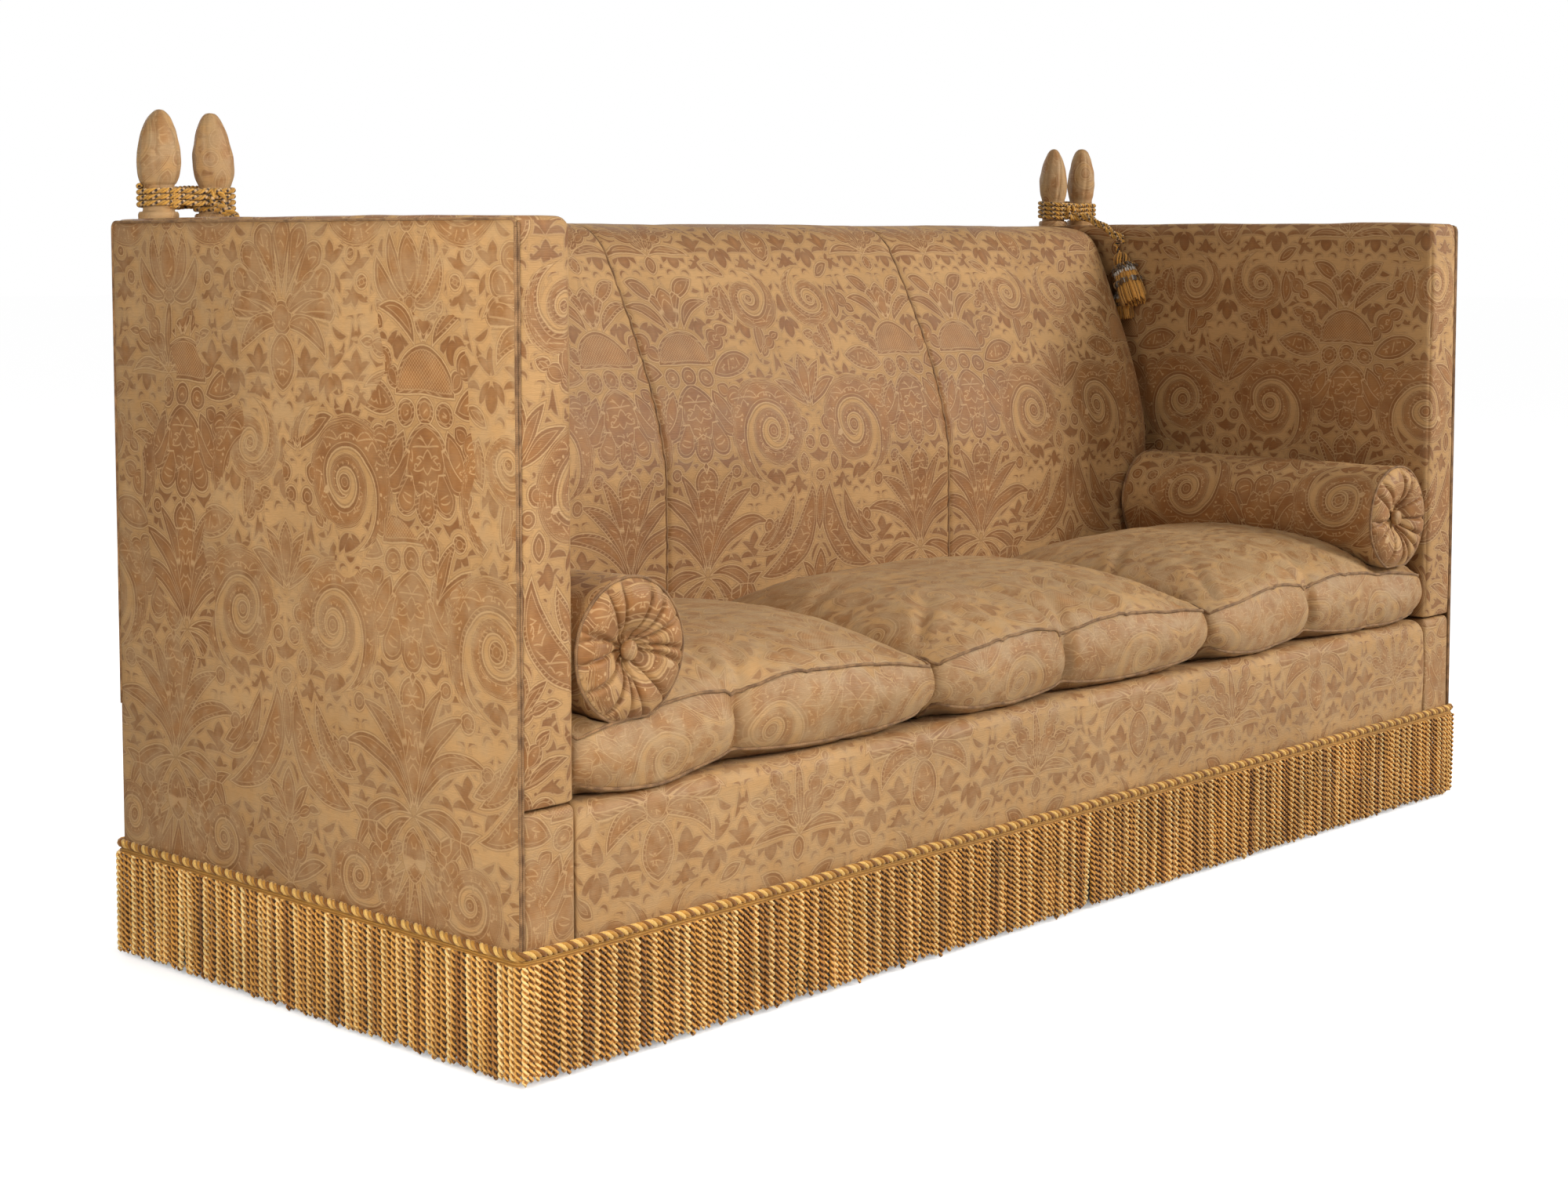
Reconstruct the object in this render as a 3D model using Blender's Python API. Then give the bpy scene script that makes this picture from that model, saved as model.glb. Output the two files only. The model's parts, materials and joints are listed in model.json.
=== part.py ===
"""A knole sofa: drop arms on hinges, tied to the back with rope round covered finials.

Metres, +Z up. The sofa faces -Y, its length runs along X, and the origin is on the floor
under its middle. Everything is built for the right-hand (+X) side and mirrored for the left.
"""
import math

import bmesh
import bpy
from mathutils import Matrix, Vector

for old_object in list(bpy.data.objects):
    bpy.data.objects.remove(old_object, do_unlink=True)

# Whole sofa
sofa_length = 2.314
sofa_depth = 0.880
arm_width = 0.093
hinge_height = 0.344
arm_rise = 0.733
back_rise = 0.731
foot_height = 0.115
hem_height = 0.118
seam_gap = 0.003
swing_gap = 0.0025
touch_gap = 0.0003
cutter_overrun = 0.030

# Base frame
side_padding = 0.012
end_padding = 0.015
rail_thickness = 0.030
rail_height = 0.130
side_rail_thickness = 0.050
cross_rail_thickness = 0.045
cross_rail_height = 0.060
cross_rail_place_share = 1 / 3
frame_edge = 0.002

# Feet
foot_top_width = 0.062
foot_toe_width = 0.044
foot_inset = 0.045
foot_edge = 0.003

# Covers of the base
cover_wall = 0.010
outer_corner_radius = 0.008
cover_edge = 0.004
front_roll_depth = 0.060
front_roll_radius = 0.024
front_roll_bulge = 0.003

# Seat
platform_wall = 0.012
platform_slab = 0.016
platform_depth_behind_pad = 0.110
webbing_width = 0.050
webbing_thickness = 0.0016
long_webbing_count = 4
cross_webbing_pitch = 0.145
dust_cover_thickness = 0.0012

# Back
back_seat_thickness = 0.320
back_top_thickness = 0.150
back_straight_height = 0.320
back_panel_thickness = 0.010
back_top_padding = 0.042
back_end_radius = 0.150
back_end_share = 0.88
back_end_drop = 0.010
back_crown_between_seams = 0.004
back_seam_place_share = 1 / 3
upright_thickness = 0.045
upright_foot_depth = 0.035
upright_knee_share = 0.825
back_rail_depth = 0.060
back_rail_height = 0.045
back_end_wall = 0.020
back_panel_drop = 0.014

# Arms
arm_frame_thickness = 0.045
arm_frame_member = 0.060
arm_top_padding = 0.042
arm_top_radius = 0.030
arm_crown_fall = 0.004
arm_edge = 0.005

# Hinges
hinge_inset = 0.005
hinge_place_share = 0.62
pin_radius = 0.0014
pin_clearance = 0.0002
pin_head_overhang = 0.0010
tab_clearance = 0.0006
hinge_sides = 12
knuckle_radius = 0.0032
knuckle_length = 0.020
knuckle_gap = 0.0004
leaf_width = 0.036
leaf_thickness = 0.0016
leaf_face_offset = 0.0010
pocket_clearance = 0.0005

# Finials
finial_from_rear = 0.048
back_finial_inset = 0.049
finial_foot_radius = 0.028
finial_foot_height = 0.011
finial_neck_radius = 0.0225
finial_neck_height = 0.040
finial_body_radius = 0.0300
finial_body_height = 0.106
dowel_radius = 0.012
dowel_clearance = 0.0006

# Rope
rope_radius = 0.0040
rope_turn_pitch = 0.0088
rope_turns = 4
rope_points_a_turn = 24
rope_neck_clearance = 0.0006
rope_lead = 0.009
knot_radius = 0.0090

# Tassels
tassel_stem_radius = 0.0016
tassel_crown_radius = 0.0055
tassel_skirt_radius = 0.0215
tassel_skirt_length = 0.080
upper_tassel_hang = (-0.006, -0.056, -0.116)
lower_tassel_hang = (0.002, -0.024, -0.148)
lower_tassel_share = 0.66
tassel_head_radius = 0.0125
tassel_waist_radius = 0.0075

# Cushions
cushion_gap = 0.003
cushion_back_gap = 0.008
cushion_bottom_lift = 0.010
cushion_corner_height = 0.096
cushion_side_rise = 0.028
cushion_crown = 0.070
cushion_draw_in = 0.007
cushion_front_bulge = 0.006
cushion_edge_inset = 0.006

# Bolsters
bolster_radius = 0.096
bolster_setback = 0.002
bolster_back_gap = 0.004
bolster_flat_half_width = 0.035
left_bolster_height = 0.183
right_bolster_height = 0.199
bolster_sides = 26
pleat_depth = 0.0030
bolster_end_bulge = 0.010
button_radius = 0.015
button_thickness = 0.009
bolster_dip_clearance = 0.003

# Fringe
heading_height = 0.018
heading_depth = 0.012
heading_top = 0.174
fringe_floor_gap = 0.004
fringe_stand_off = 0.003
fringe_thickness = 0.009
fringe_rib_depth = 0.004
fringe_rib_pitch = 0.036
fringe_slit = 0.004

# Places worked out from the sizes above
half_length = sofa_length / 2
half_depth = sofa_depth / 2
inner_x = half_length - arm_width
hinge_x = half_length - hinge_inset
base_top = hinge_height - seam_gap / 2
arm_bottom = hinge_height + seam_gap / 2
arm_top = hinge_height + arm_rise
back_top = hinge_height + back_rise
rail_top = foot_height + rail_height
side_rail_outer = half_length - side_padding - touch_gap
side_rail_inner = side_rail_outer - side_rail_thickness
side_rail_top = base_top - cover_wall - touch_gap
frame_front = -half_depth + end_padding + touch_gap
frame_rear = half_depth - back_panel_thickness - touch_gap
seat_level = base_top - touch_gap
cushion_bottom = seat_level + touch_gap
back_end_x = inner_x - swing_gap
back_front_y = half_depth - back_seat_thickness
back_frame_rear = half_depth - back_panel_thickness - touch_gap
back_frame_top = back_top - back_top_padding
upright_front_y = back_front_y + platform_depth_behind_pad
upright_head_y = half_depth - back_top_thickness + back_rail_depth
finial_y = half_depth - finial_from_rear
arm_finial_x = half_length - arm_width / 2
back_finial_x = inner_x - back_finial_inset


def material(name, colour, roughness, metallic=0.0):
    """A plain Principled material."""
    made = bpy.data.materials.new(name)
    made.use_nodes = True
    shader = made.node_tree.nodes["Principled BSDF"]
    shader.inputs["Base Color"].default_value = (*colour, 1.0)
    shader.inputs["Roughness"].default_value = roughness
    shader.inputs["Metallic"].default_value = metallic
    return made


damask = material("damask", (0.42, 0.26, 0.12), 0.60)
beech = material("beech", (0.55, 0.38, 0.22), 0.55)
hessian = material("hessian", (0.45, 0.36, 0.24), 0.90)
black_cloth = material("black_cloth", (0.03, 0.03, 0.03), 0.95)
jute_web = material("jute_web", (0.50, 0.42, 0.30), 0.90)
steel = material("steel", (0.45, 0.44, 0.42), 0.40, 1.0)
gold_cord = material("gold_cord", (0.55, 0.34, 0.10), 0.65)
rope_cord = material("rope_cord", (0.40, 0.27, 0.10), 0.70)
tassel_silk = material("tassel_silk", (0.55, 0.30, 0.07), 0.70)


def add_object(name, mesh, look, parent=None, smooth_degrees=None):
    """Links a mesh or curve as a named object, kept in place under its parent."""
    made = bpy.data.objects.new(name, mesh)
    mesh.materials.append(look)
    bpy.context.scene.collection.objects.link(made)
    if smooth_degrees is not None:
        mesh.shade_smooth()
        mesh.set_sharp_from_angle(angle=math.radians(smooth_degrees))
    if parent is not None:
        made.parent = parent
        made.matrix_parent_inverse = Matrix.Translation(-parent.location)
    return made


def mesh_from(bm, name, side=1):
    """Turns a bmesh into a mesh with its faces outward, mirrored in X when side is -1."""
    if side < 0:
        bmesh.ops.scale(bm, vec=(-1, 1, 1), verts=bm.verts)
    bmesh.ops.recalc_face_normals(bm, faces=bm.faces)
    made = bpy.data.meshes.new(name)
    bm.to_mesh(made)
    bm.free()
    return made


def box_mesh(name, low, high, side=1):
    """A box between two corners."""
    bm = bmesh.new()
    bmesh.ops.create_cube(bm, size=1)
    middle = (Vector(low) + Vector(high)) / 2
    span = Vector(high) - Vector(low)
    for vert in bm.verts:
        vert.co = Vector(a * b for a, b in zip(vert.co, span)) + middle
    return mesh_from(bm, name, side)


def prism_bmesh(outline, along, start, end):
    """An outline of pairs, extruded along X, Y or Z from start to end."""
    bm = bmesh.new()
    for place in (start, end):
        if along == "X":
            ring = [bm.verts.new((place, a, b)) for a, b in outline]
        elif along == "Y":
            ring = [bm.verts.new((a, place, b)) for a, b in outline]
        else:
            ring = [bm.verts.new((a, b, place)) for a, b in outline]
        bm.faces.new(ring)
    count = len(outline)
    bm.verts.ensure_lookup_table()
    for i in range(count):
        j = (i + 1) % count
        bm.faces.new((bm.verts[i], bm.verts[j], bm.verts[count + j], bm.verts[count + i]))
    return bm


def ring_loft(rings):
    """A closed solid through rings of as many points each, with flat ends."""
    bm = bmesh.new()
    made = [[bm.verts.new(point) for point in ring] for ring in rings]
    count = len(made[0])
    for lower, upper in zip(made, made[1:]):
        for i in range(count):
            j = (i + 1) % count
            bm.faces.new((lower[i], lower[j], upper[j], upper[i]))
    bm.faces.new(made[0])
    bm.faces.new(made[-1])
    return bm


def turned(profile, sides):
    """A turned solid about Z through (radius, height) pairs; a zero radius closes an end in a point."""
    bm = bmesh.new()
    rings = []
    for radius, height in profile:
        if radius == 0:
            rings.append([bm.verts.new((0, 0, height))])
            continue
        turns = (2 * math.pi * i / sides for i in range(sides))
        rings.append([bm.verts.new((radius * math.cos(t), radius * math.sin(t), height)) for t in turns])
    for lower, upper in zip(rings, rings[1:]):
        for i in range(sides):
            j = (i + 1) % sides
            corners = [lower[i % len(lower)], lower[j % len(lower)], upper[j % len(upper)], upper[i % len(upper)]]
            bm.faces.new(list(dict.fromkeys(corners)))
    for ring in (rings[0], rings[-1]):
        if len(ring) > 1:
            bm.faces.new(ring)
    return bm


def cell_solid(xs, ys, zs, keep):
    """Joinery on a grid: each cell for which keep(i, j, k) is true is timber, and touching cells are one piece."""
    bm = bmesh.new()
    corners = {}

    def corner(i, j, k):
        if (i, j, k) not in corners:
            corners[i, j, k] = bm.verts.new((xs[i], ys[j], zs[k]))
        return corners[i, j, k]

    def kept(i, j, k):
        inside = 0 <= i < len(xs) - 1 and 0 <= j < len(ys) - 1 and 0 <= k < len(zs) - 1
        return inside and keep(i, j, k)

    for i in range(len(xs) - 1):
        for j in range(len(ys) - 1):
            for k in range(len(zs) - 1):
                if not kept(i, j, k):
                    continue
                for axis in range(3):
                    for step in (0, 1):
                        beside = [i, j, k]
                        beside[axis] += 2 * step - 1
                        if kept(*beside):
                            continue
                        loop = []
                        for a, b in ((0, 0), (1, 0), (1, 1), (0, 1)):
                            place = [i, j, k]
                            place[axis] += step
                            place[(axis + 1) % 3] += a
                            place[(axis + 2) % 3] += b
                            loop.append(corner(*place))
                        bm.faces.new(loop)
    return bm


def soften(target, width, segments=2):
    """Rounds the sharp edges of a piece."""
    bevel = target.modifiers.new("soft_edges", "BEVEL")
    bevel.width = width
    bevel.segments = segments
    bevel.limit_method = "ANGLE"
    bevel.angle_limit = math.radians(50)


def boolean(target, tool, operation="DIFFERENCE"):
    """Cuts or joins with another object, which stays as a hidden guide."""
    tool.hide_render = True
    tool.display_type = "WIRE"
    step = target.modifiers.new(operation.lower(), "BOOLEAN")
    step.operation = operation
    step.solver = "EXACT"
    step.object = tool


def guide(name, mesh):
    """A cutter or a part to be joined, which isn't a piece of the sofa."""
    made = bpy.data.objects.new(name, mesh)
    bpy.context.scene.collection.objects.link(made)
    made.hide_render = True
    made.display_type = "WIRE"
    return made


def arc(centre, radius, start_degrees, end_degrees, steps):
    """Points of an arc in a plane."""
    points = []
    for i in range(steps + 1):
        turn = math.radians(start_degrees + (end_degrees - start_degrees) * i / steps)
        points.append((centre[0] + radius * math.cos(turn), centre[1] + radius * math.sin(turn)))
    return points


def named_side(side):
    return "right" if side > 0 else "left"


def empty(name, place):
    made = bpy.data.objects.new(name, None)
    made.location = place
    bpy.context.scene.collection.objects.link(made)
    return made


def build_base_frame():
    """Beech rails round the seat, two cross rails, and high side rails that carry the hinges."""
    cross_x = inner_x * cross_rail_place_share
    half_cross = cross_rail_thickness / 2
    xs = [-side_rail_outer, -side_rail_inner, -cross_x - half_cross, -cross_x + half_cross]
    xs += [-x for x in reversed(xs)]
    ys = [frame_front, frame_front + rail_thickness, frame_rear - rail_thickness, frame_rear]
    zs = [foot_height + touch_gap, foot_height + cross_rail_height, rail_top, side_rail_top]

    def keep(i, j, k):
        side_rail = i in (0, len(xs) - 2)
        end_rail = j in (0, 2) and k < 2
        cross_rail = i in (2, 4) and k == 0
        return side_rail or end_rail or cross_rail

    add_object("base_frame", mesh_from(cell_solid(xs, ys, zs, keep), "base_frame"), beech)


def build_feet():
    """Six tapered square feet under the rails."""
    rows = {"front": frame_front + foot_inset, "back": frame_rear - foot_inset}
    columns = {"left": foot_inset - side_rail_outer, "middle": 0, "right": side_rail_outer - foot_inset}
    half_top = foot_top_width / 2
    half_toe = foot_toe_width / 2
    square = ((-1, -1), (1, -1), (1, 1), (-1, 1))
    for row, y in rows.items():
        for column, x in columns.items():
            name = f"{row}_{column}_foot"
            toe = [(a * half_toe, b * half_toe, 0) for a, b in square]
            top = [(a * half_top, b * half_top, foot_height) for a, b in square]
            foot = add_object(name, mesh_from(ring_loft([toe, top]), name), beech)
            foot.location = (x, y, 0)
            soften(foot, foot_edge, 1)


def webbing_levels():
    """Heights of the webbing's two faces and of the dust cover's top, from the rails down."""
    high = foot_height - touch_gap
    low = high - webbing_thickness
    return low, high, low - touch_gap


def build_webbing():
    """Jute bands woven under the rails, clear of the feet, which carry the springs."""
    low, high, _ = webbing_levels()
    clear_x = side_rail_outer - foot_inset - foot_top_width / 2 - touch_gap
    half_band = webbing_width / 2
    first_y = frame_front + foot_inset + foot_top_width / 2 + half_band + touch_gap
    last_y = frame_rear - foot_inset - foot_top_width / 2 - half_band - touch_gap
    beside_middle_foot = foot_top_width / 2 + half_band + foot_edge
    run = clear_x - half_band - beside_middle_foot
    gaps = max(1, int(run / cross_webbing_pitch))
    cross_places = [beside_middle_foot + run * i / gaps for i in range(gaps + 1)]
    cross_places = [-x for x in reversed(cross_places)] + cross_places
    long_places = [first_y + (last_y - first_y) * i / (long_webbing_count - 1) for i in range(long_webbing_count)]
    xs = [-side_rail_outer] + [x + step for x in cross_places for step in (-half_band, half_band)] + [side_rail_outer]
    ys = [frame_front] + [y + step for y in long_places for step in (-half_band, half_band)] + [frame_rear]

    def keep(i, j, k):
        return i % 2 == 1 or j % 2 == 1

    bands = cell_solid(xs, ys, [low, high], keep)
    add_object("seat_webbing", mesh_from(bands, "seat_webbing"), jute_web)


def build_dust_cover():
    """Black cloth under the webbing, cut round the feet."""
    top = webbing_levels()[-1]
    reach_x = side_rail_outer - foot_inset - foot_top_width / 2 - touch_gap
    behind_front_feet = frame_front + foot_inset + foot_top_width / 2 + touch_gap
    before_back_feet = frame_rear - foot_inset - foot_top_width / 2 - touch_gap
    half_foot = foot_top_width / 2 + touch_gap
    xs = [-side_rail_outer, -reach_x, -half_foot, half_foot, reach_x, side_rail_outer]
    ys = [frame_front, behind_front_feet, before_back_feet, frame_rear]

    def keep(i, j, k):
        return j == 1 or i in (1, 3)

    cloth = cell_solid(xs, ys, [top - dust_cover_thickness, top], keep)
    add_object("dust_cover", mesh_from(cloth, "dust_cover"), black_cloth)


def build_platform():
    """Stuffed hessian over the springs: a tray upside down on the rails."""
    half_x = inner_x - 2 * touch_gap
    front = front_roll_rear() + touch_gap
    rear = upright_front_y - touch_gap
    xs = [-half_x, -half_x + platform_wall, half_x - platform_wall, half_x]
    ys = [front, front + platform_wall, rear - platform_wall, rear]
    zs = [rail_top + touch_gap, seat_level - platform_slab, seat_level]

    def keep(i, j, k):
        return k == 1 or i != 1 or j != 1

    add_object("seat_platform", mesh_from(cell_solid(xs, ys, zs, keep), "seat_platform"), hessian)


def front_roll_rear():
    return -half_depth + end_padding + front_roll_depth


def build_front_rail_cover():
    """Padded front rail between the arm blocks, rolled over the top of the rail."""
    front = -half_depth
    back = front_roll_rear()
    rail_face = frame_front - touch_gap
    middle_height = (heading_top + seat_level - front_roll_radius) / 2
    outline = [(front, hem_height), (front, heading_top), (front - front_roll_bulge, middle_height)]
    outline += arc((front + front_roll_radius, seat_level - front_roll_radius), front_roll_radius, 180, 90, 5)
    outline += arc((back - front_roll_radius / 2, seat_level - front_roll_radius / 2), front_roll_radius / 2, 90, 0, 3)
    outline += [(back, rail_top + touch_gap), (rail_face, rail_top + touch_gap), (rail_face, hem_height)]
    half_x = inner_x - touch_gap
    shape = prism_bmesh(outline, "X", -half_x, half_x)
    add_object("front_rail_cover", mesh_from(shape, "front_rail_cover"), damask, smooth_degrees=40)


def hinge_cutter(side, place, upward):
    """The sinking for one hinge leaf and its knuckles, in the base below or the arm above."""
    flip = 1 if upward else -1
    floor = leaf_face_offset + leaf_thickness + touch_gap
    trough = knuckle_radius + pocket_clearance
    half_span = 1.5 * knuckle_length + knuckle_gap + pin_head_overhang + pocket_clearance
    leaf_end = hinge_x - leaf_width - pocket_clearance
    trough_in = hinge_x - trough
    beyond = half_length + cutter_overrun
    outline = [
        (leaf_end, hinge_height),
        (leaf_end, hinge_height + flip * floor),
        (trough_in, hinge_height + flip * floor),
        (trough_in, hinge_height + flip * trough),
        (beyond, hinge_height + flip * trough),
        (beyond, hinge_height),
    ]
    shape = prism_bmesh(outline, "Y", place - half_span, place + half_span)
    name = f"{named_side(side)}_hinge_cut"
    return guide(name, mesh_from(shape, name, side))


def hinge_places():
    reach = half_depth * hinge_place_share
    return {"front": -reach, "rear": reach}


def build_side_base_cover(side):
    """The block under an arm: a padded shell over the side rail, sunk for the hinges."""
    name = f"{named_side(side)}_base_cover"
    radius = outer_corner_radius
    outline = [(inner_x, hem_height), (inner_x, base_top)]
    outline += arc((half_length - radius, base_top - radius), radius, 90, 0, 4)
    outline += [(half_length, hem_height)]
    shape = prism_bmesh(outline, "Y", -half_depth, half_depth)
    cover = add_object(name, mesh_from(shape, name, side), damask, smooth_degrees=40)
    soften(cover, cover_edge)
    low = hem_height - cutter_overrun
    gap = touch_gap
    rail_room = box_mesh(
        "rail_room",
        (side_rail_inner - gap, frame_front - gap, low),
        (side_rail_outer + gap, frame_rear + gap, side_rail_top + gap),
        side,
    )
    boolean(cover, guide("rail_room", rail_room))
    inner_room = box_mesh(
        "inner_room",
        (inner_x - cutter_overrun, frame_front - gap, low),
        (side_rail_inner + side_rail_thickness / 2, frame_rear + gap, rail_top + gap),
        side,
    )
    boolean(cover, guide("inner_room", inner_room))
    for place in hinge_places().values():
        boolean(cover, hinge_cutter(side, place, False))


def knuckles(bm, places):
    """Rolled knuckles with a bore for the pin, centred on the hinge axis."""
    bore = (pin_radius + pin_clearance) / math.cos(math.pi / hinge_sides)
    turns = [2 * math.pi * i / hinge_sides for i in range(hinge_sides)]
    for start in places:
        rings = []
        for radius in (knuckle_radius, bore):
            for y in (start, start + knuckle_length):
                spots = [(hinge_x + radius * math.cos(t), y, hinge_height + radius * math.sin(t)) for t in turns]
                rings.append([bm.verts.new(spot) for spot in spots])
        outer_low, outer_high, bore_low, bore_high = rings
        walls = ((outer_low, outer_high), (outer_high, bore_high), (bore_high, bore_low), (bore_low, outer_low))
        for first, second in walls:
            for i in range(hinge_sides):
                j = (i + 1) % hinge_sides
                bm.faces.new((first[i], first[j], second[j], second[i]))


def build_hinge(side, row, place, arm_axis):
    """A butt hinge: the fixed leaf has the outer knuckles, the moving leaf the middle one."""
    half_span = 1.5 * knuckle_length + knuckle_gap
    first = place - half_span
    middle = first + knuckle_length + knuckle_gap
    last = middle + knuckle_length + knuckle_gap
    sets = {"fixed": (-1, (first, last)), "moving": (1, (middle,))}
    for kind, (flip, starts) in sets.items():
        name = f"{named_side(side)}_{row}_hinge_{kind}_leaf"
        bm = bmesh.new()
        knuckles(bm, starts)
        shell = add_object(name, mesh_from(bm, name, side), steel, parent=arm_axis if flip > 0 else None)
        near = hinge_height + flip * leaf_face_offset
        far = hinge_height + flip * (leaf_face_offset + leaf_thickness)
        edge = hinge_x - knuckle_radius + knuckle_gap
        leaf_low = (hinge_x - leaf_width, place - half_span, min(near, far))
        leaf_high = (edge - knuckle_gap - touch_gap, place + half_span, max(near, far))
        plate = guide(name + "_plate", box_mesh(name + "_plate", leaf_low, leaf_high, side))
        boolean(shell, plate, "UNION")
        for start in starts:
            tab_low = (hinge_x - leaf_width / 2, start, min(near, far))
            tab_high = (hinge_x - pin_radius - tab_clearance, start + knuckle_length, max(near, far))
            tab = guide(name + "_tab", box_mesh(name + "_tab", tab_low, tab_high, side))
            boolean(shell, tab, "UNION")


def build_hinge_pin(side, row, place):
    """A headed pin through the knuckles of a hinge."""
    half_span = 1.5 * knuckle_length + knuckle_gap
    profile = [
        (knuckle_radius, -half_span - touch_gap - pin_head_overhang),
        (knuckle_radius, -half_span - touch_gap),
        (pin_radius, -half_span - touch_gap / 2),
        (pin_radius, half_span),
    ]
    bm = turned(profile, hinge_sides)
    bmesh.ops.rotate(bm, verts=bm.verts, matrix=Matrix.Rotation(-math.pi / 2, 3, "X"))
    name = f"{named_side(side)}_{row}_hinge_pin"
    pin = add_object(name, mesh_from(bm, name), steel)
    pin.location = (side * hinge_x, place, hinge_height)


def upright_front_at(height):
    """The front edge of the uprights at a height."""
    share = (height - seat_level) / (back_frame_top - seat_level)
    return upright_front_y + (upright_head_y - upright_front_y) * max(0, min(1, share))


def back_frame_timbers(grow):
    """The top rail, stuffing rail and four tapered uprights as meshes, each grown all round by a clearance."""
    half_rail = back_end_x - back_end_wall - touch_gap
    shoulder = frame_edge * 2 - grow
    top_rail = box_mesh(
        "top_rail",
        (-half_rail + shoulder, upright_head_y + shoulder, back_frame_top - back_rail_height - grow),
        (half_rail - shoulder, back_frame_rear - shoulder, back_frame_top - shoulder),
    )
    lower = seat_level + back_rail_height / 2
    upper = lower + back_rail_height
    stuffing_rail = box_mesh(
        "stuffing_rail",
        (-half_rail + shoulder, upright_front_at(upper) + shoulder, lower - grow),
        (half_rail - shoulder, upright_front_at(lower) + back_rail_depth + grow, upper + grow),
    )
    low = rail_top + touch_gap
    outline = [
        (back_frame_rear + grow, low - grow),
        (back_frame_rear + grow, back_frame_top + grow),
        (upright_head_y - grow, back_frame_top + grow),
        (upright_front_y - 2 * grow, seat_level - grow),
        (upright_front_y - 2 * grow, low + (seat_level - low) * upright_knee_share),
        (back_frame_rear - upright_foot_depth, low - grow),
    ]
    places = [-half_rail, -inner_x * cross_rail_place_share - upright_thickness / 2]
    places += [-place - upright_thickness for place in reversed(places)]
    uprights = []
    for start in places:
        shape = prism_bmesh(outline, "X", start - grow, start + upright_thickness + grow)
        uprights.append(mesh_from(shape, "upright"))
    return [top_rail, stuffing_rail] + uprights


def build_back_frame():
    """The back's timbers glued up into one frame."""
    first, *others = back_frame_timbers(0)
    frame = add_object("back_frame", first, beech)
    for timber in others:
        boolean(frame, guide(timber.name, timber), "UNION")


def back_face_at(height):
    """The front face of the inside back: upright at the seat, then leaning more and more."""
    straight_top = seat_level + back_straight_height
    share = max(0, (height - straight_top) / (back_top - straight_top))
    lean = back_seat_thickness - back_top_thickness
    return back_front_y + lean * share ** 1.55


def build_back_pad():
    """The stuffed inside back: rolled over the top rail, crowned between its seams, rounded and closed at its ends."""
    gap = touch_gap
    low = seat_level + gap
    shoulder = back_frame_top
    front_heights = [low, seat_level + back_straight_height * 0.5]
    rise = shoulder - seat_level - back_straight_height
    front_heights += [seat_level + back_straight_height + rise * i / 5 for i in range(6)]
    roll = back_top - shoulder
    roll_start = back_face_at(shoulder)
    roll_depth = back_frame_rear - roll_start
    roll_shares = [(0.10, 0.45), (0.24, 0.78), (0.45, 0.97), (0.68, 1.0), (0.88, 0.90), (1.0, 0.60)]
    seam_x = inner_x * back_seam_place_share
    end_steps = 6
    xs = [seam_x * i / 3 for i in range(4)]
    bend = back_end_x - back_end_radius
    xs += [seam_x + (bend - seam_x) * i / 2 for i in (1, 2)]
    xs += [bend + back_end_radius * math.sin(math.pi / 2 * i / end_steps) for i in range(1, end_steps + 1)]
    xs = [-x for x in reversed(xs[1:])] + xs

    rings = []
    for x in xs:
        past = max(0, abs(x) - bend) / back_end_radius
        turn = 1 - math.sqrt(max(0, 1 - past * past))
        panel = abs(x) / seam_x if abs(x) < seam_x else (abs(x) - seam_x) / (bend - seam_x)
        bulge = abs(math.sin(math.pi * panel)) if abs(x) > seam_x else math.cos(math.pi / 2 * panel)
        bulge = back_crown_between_seams * (bulge if past == 0 else 0)
        ring = []
        for height in front_heights:
            face = back_face_at(height) - bulge
            retreat = back_end_share * (upright_front_at(height) - gap - back_face_at(height)) * turn
            ring.append((x, face + retreat, height))
        drop = back_end_drop * turn
        last_retreat = ring[-1][1] - back_face_at(shoulder)
        for along, up in roll_shares:
            y = roll_start + roll_depth * along + last_retreat * (1 - along)
            ring.append((x, y, shoulder + roll * up - drop * up))
        ring.append((x, back_frame_rear, low))
        rings.append(ring)
    pad = add_object("back_pad", mesh_from(ring_loft(rings), "back_pad"), damask, smooth_degrees=50)
    for timber in back_frame_timbers(gap):
        boolean(pad, guide(timber.name + "_space", timber))
    for side in (-1, 1):
        boolean(pad, dowel_cutter("back", side * back_finial_x, back_frame_top))


def build_outside_back():
    """The flat rear panel, from the hem to the back's top roll."""
    half_x = back_end_x
    low = (-half_x, half_depth - back_panel_thickness, hem_height)
    high = (half_x, half_depth, back_frame_top + back_top_padding - back_panel_drop)
    panel = add_object("outside_back", box_mesh("outside_back", low, high), damask)
    soften(panel, back_panel_thickness / 3)


def dowel_cutter(name, x, low):
    """The hole in the padding for a finial's dowel."""
    radius = (dowel_radius + dowel_clearance) / math.cos(math.pi / 16)
    bm = turned([(radius, low - cutter_overrun / 6), (radius, low + 3 * cutter_overrun)], 16)
    bmesh.ops.translate(bm, verts=bm.verts, vec=(x, finial_y, 0))
    return guide(f"{name}_dowel_hole", mesh_from(bm, f"{name}_dowel_hole"))


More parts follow.
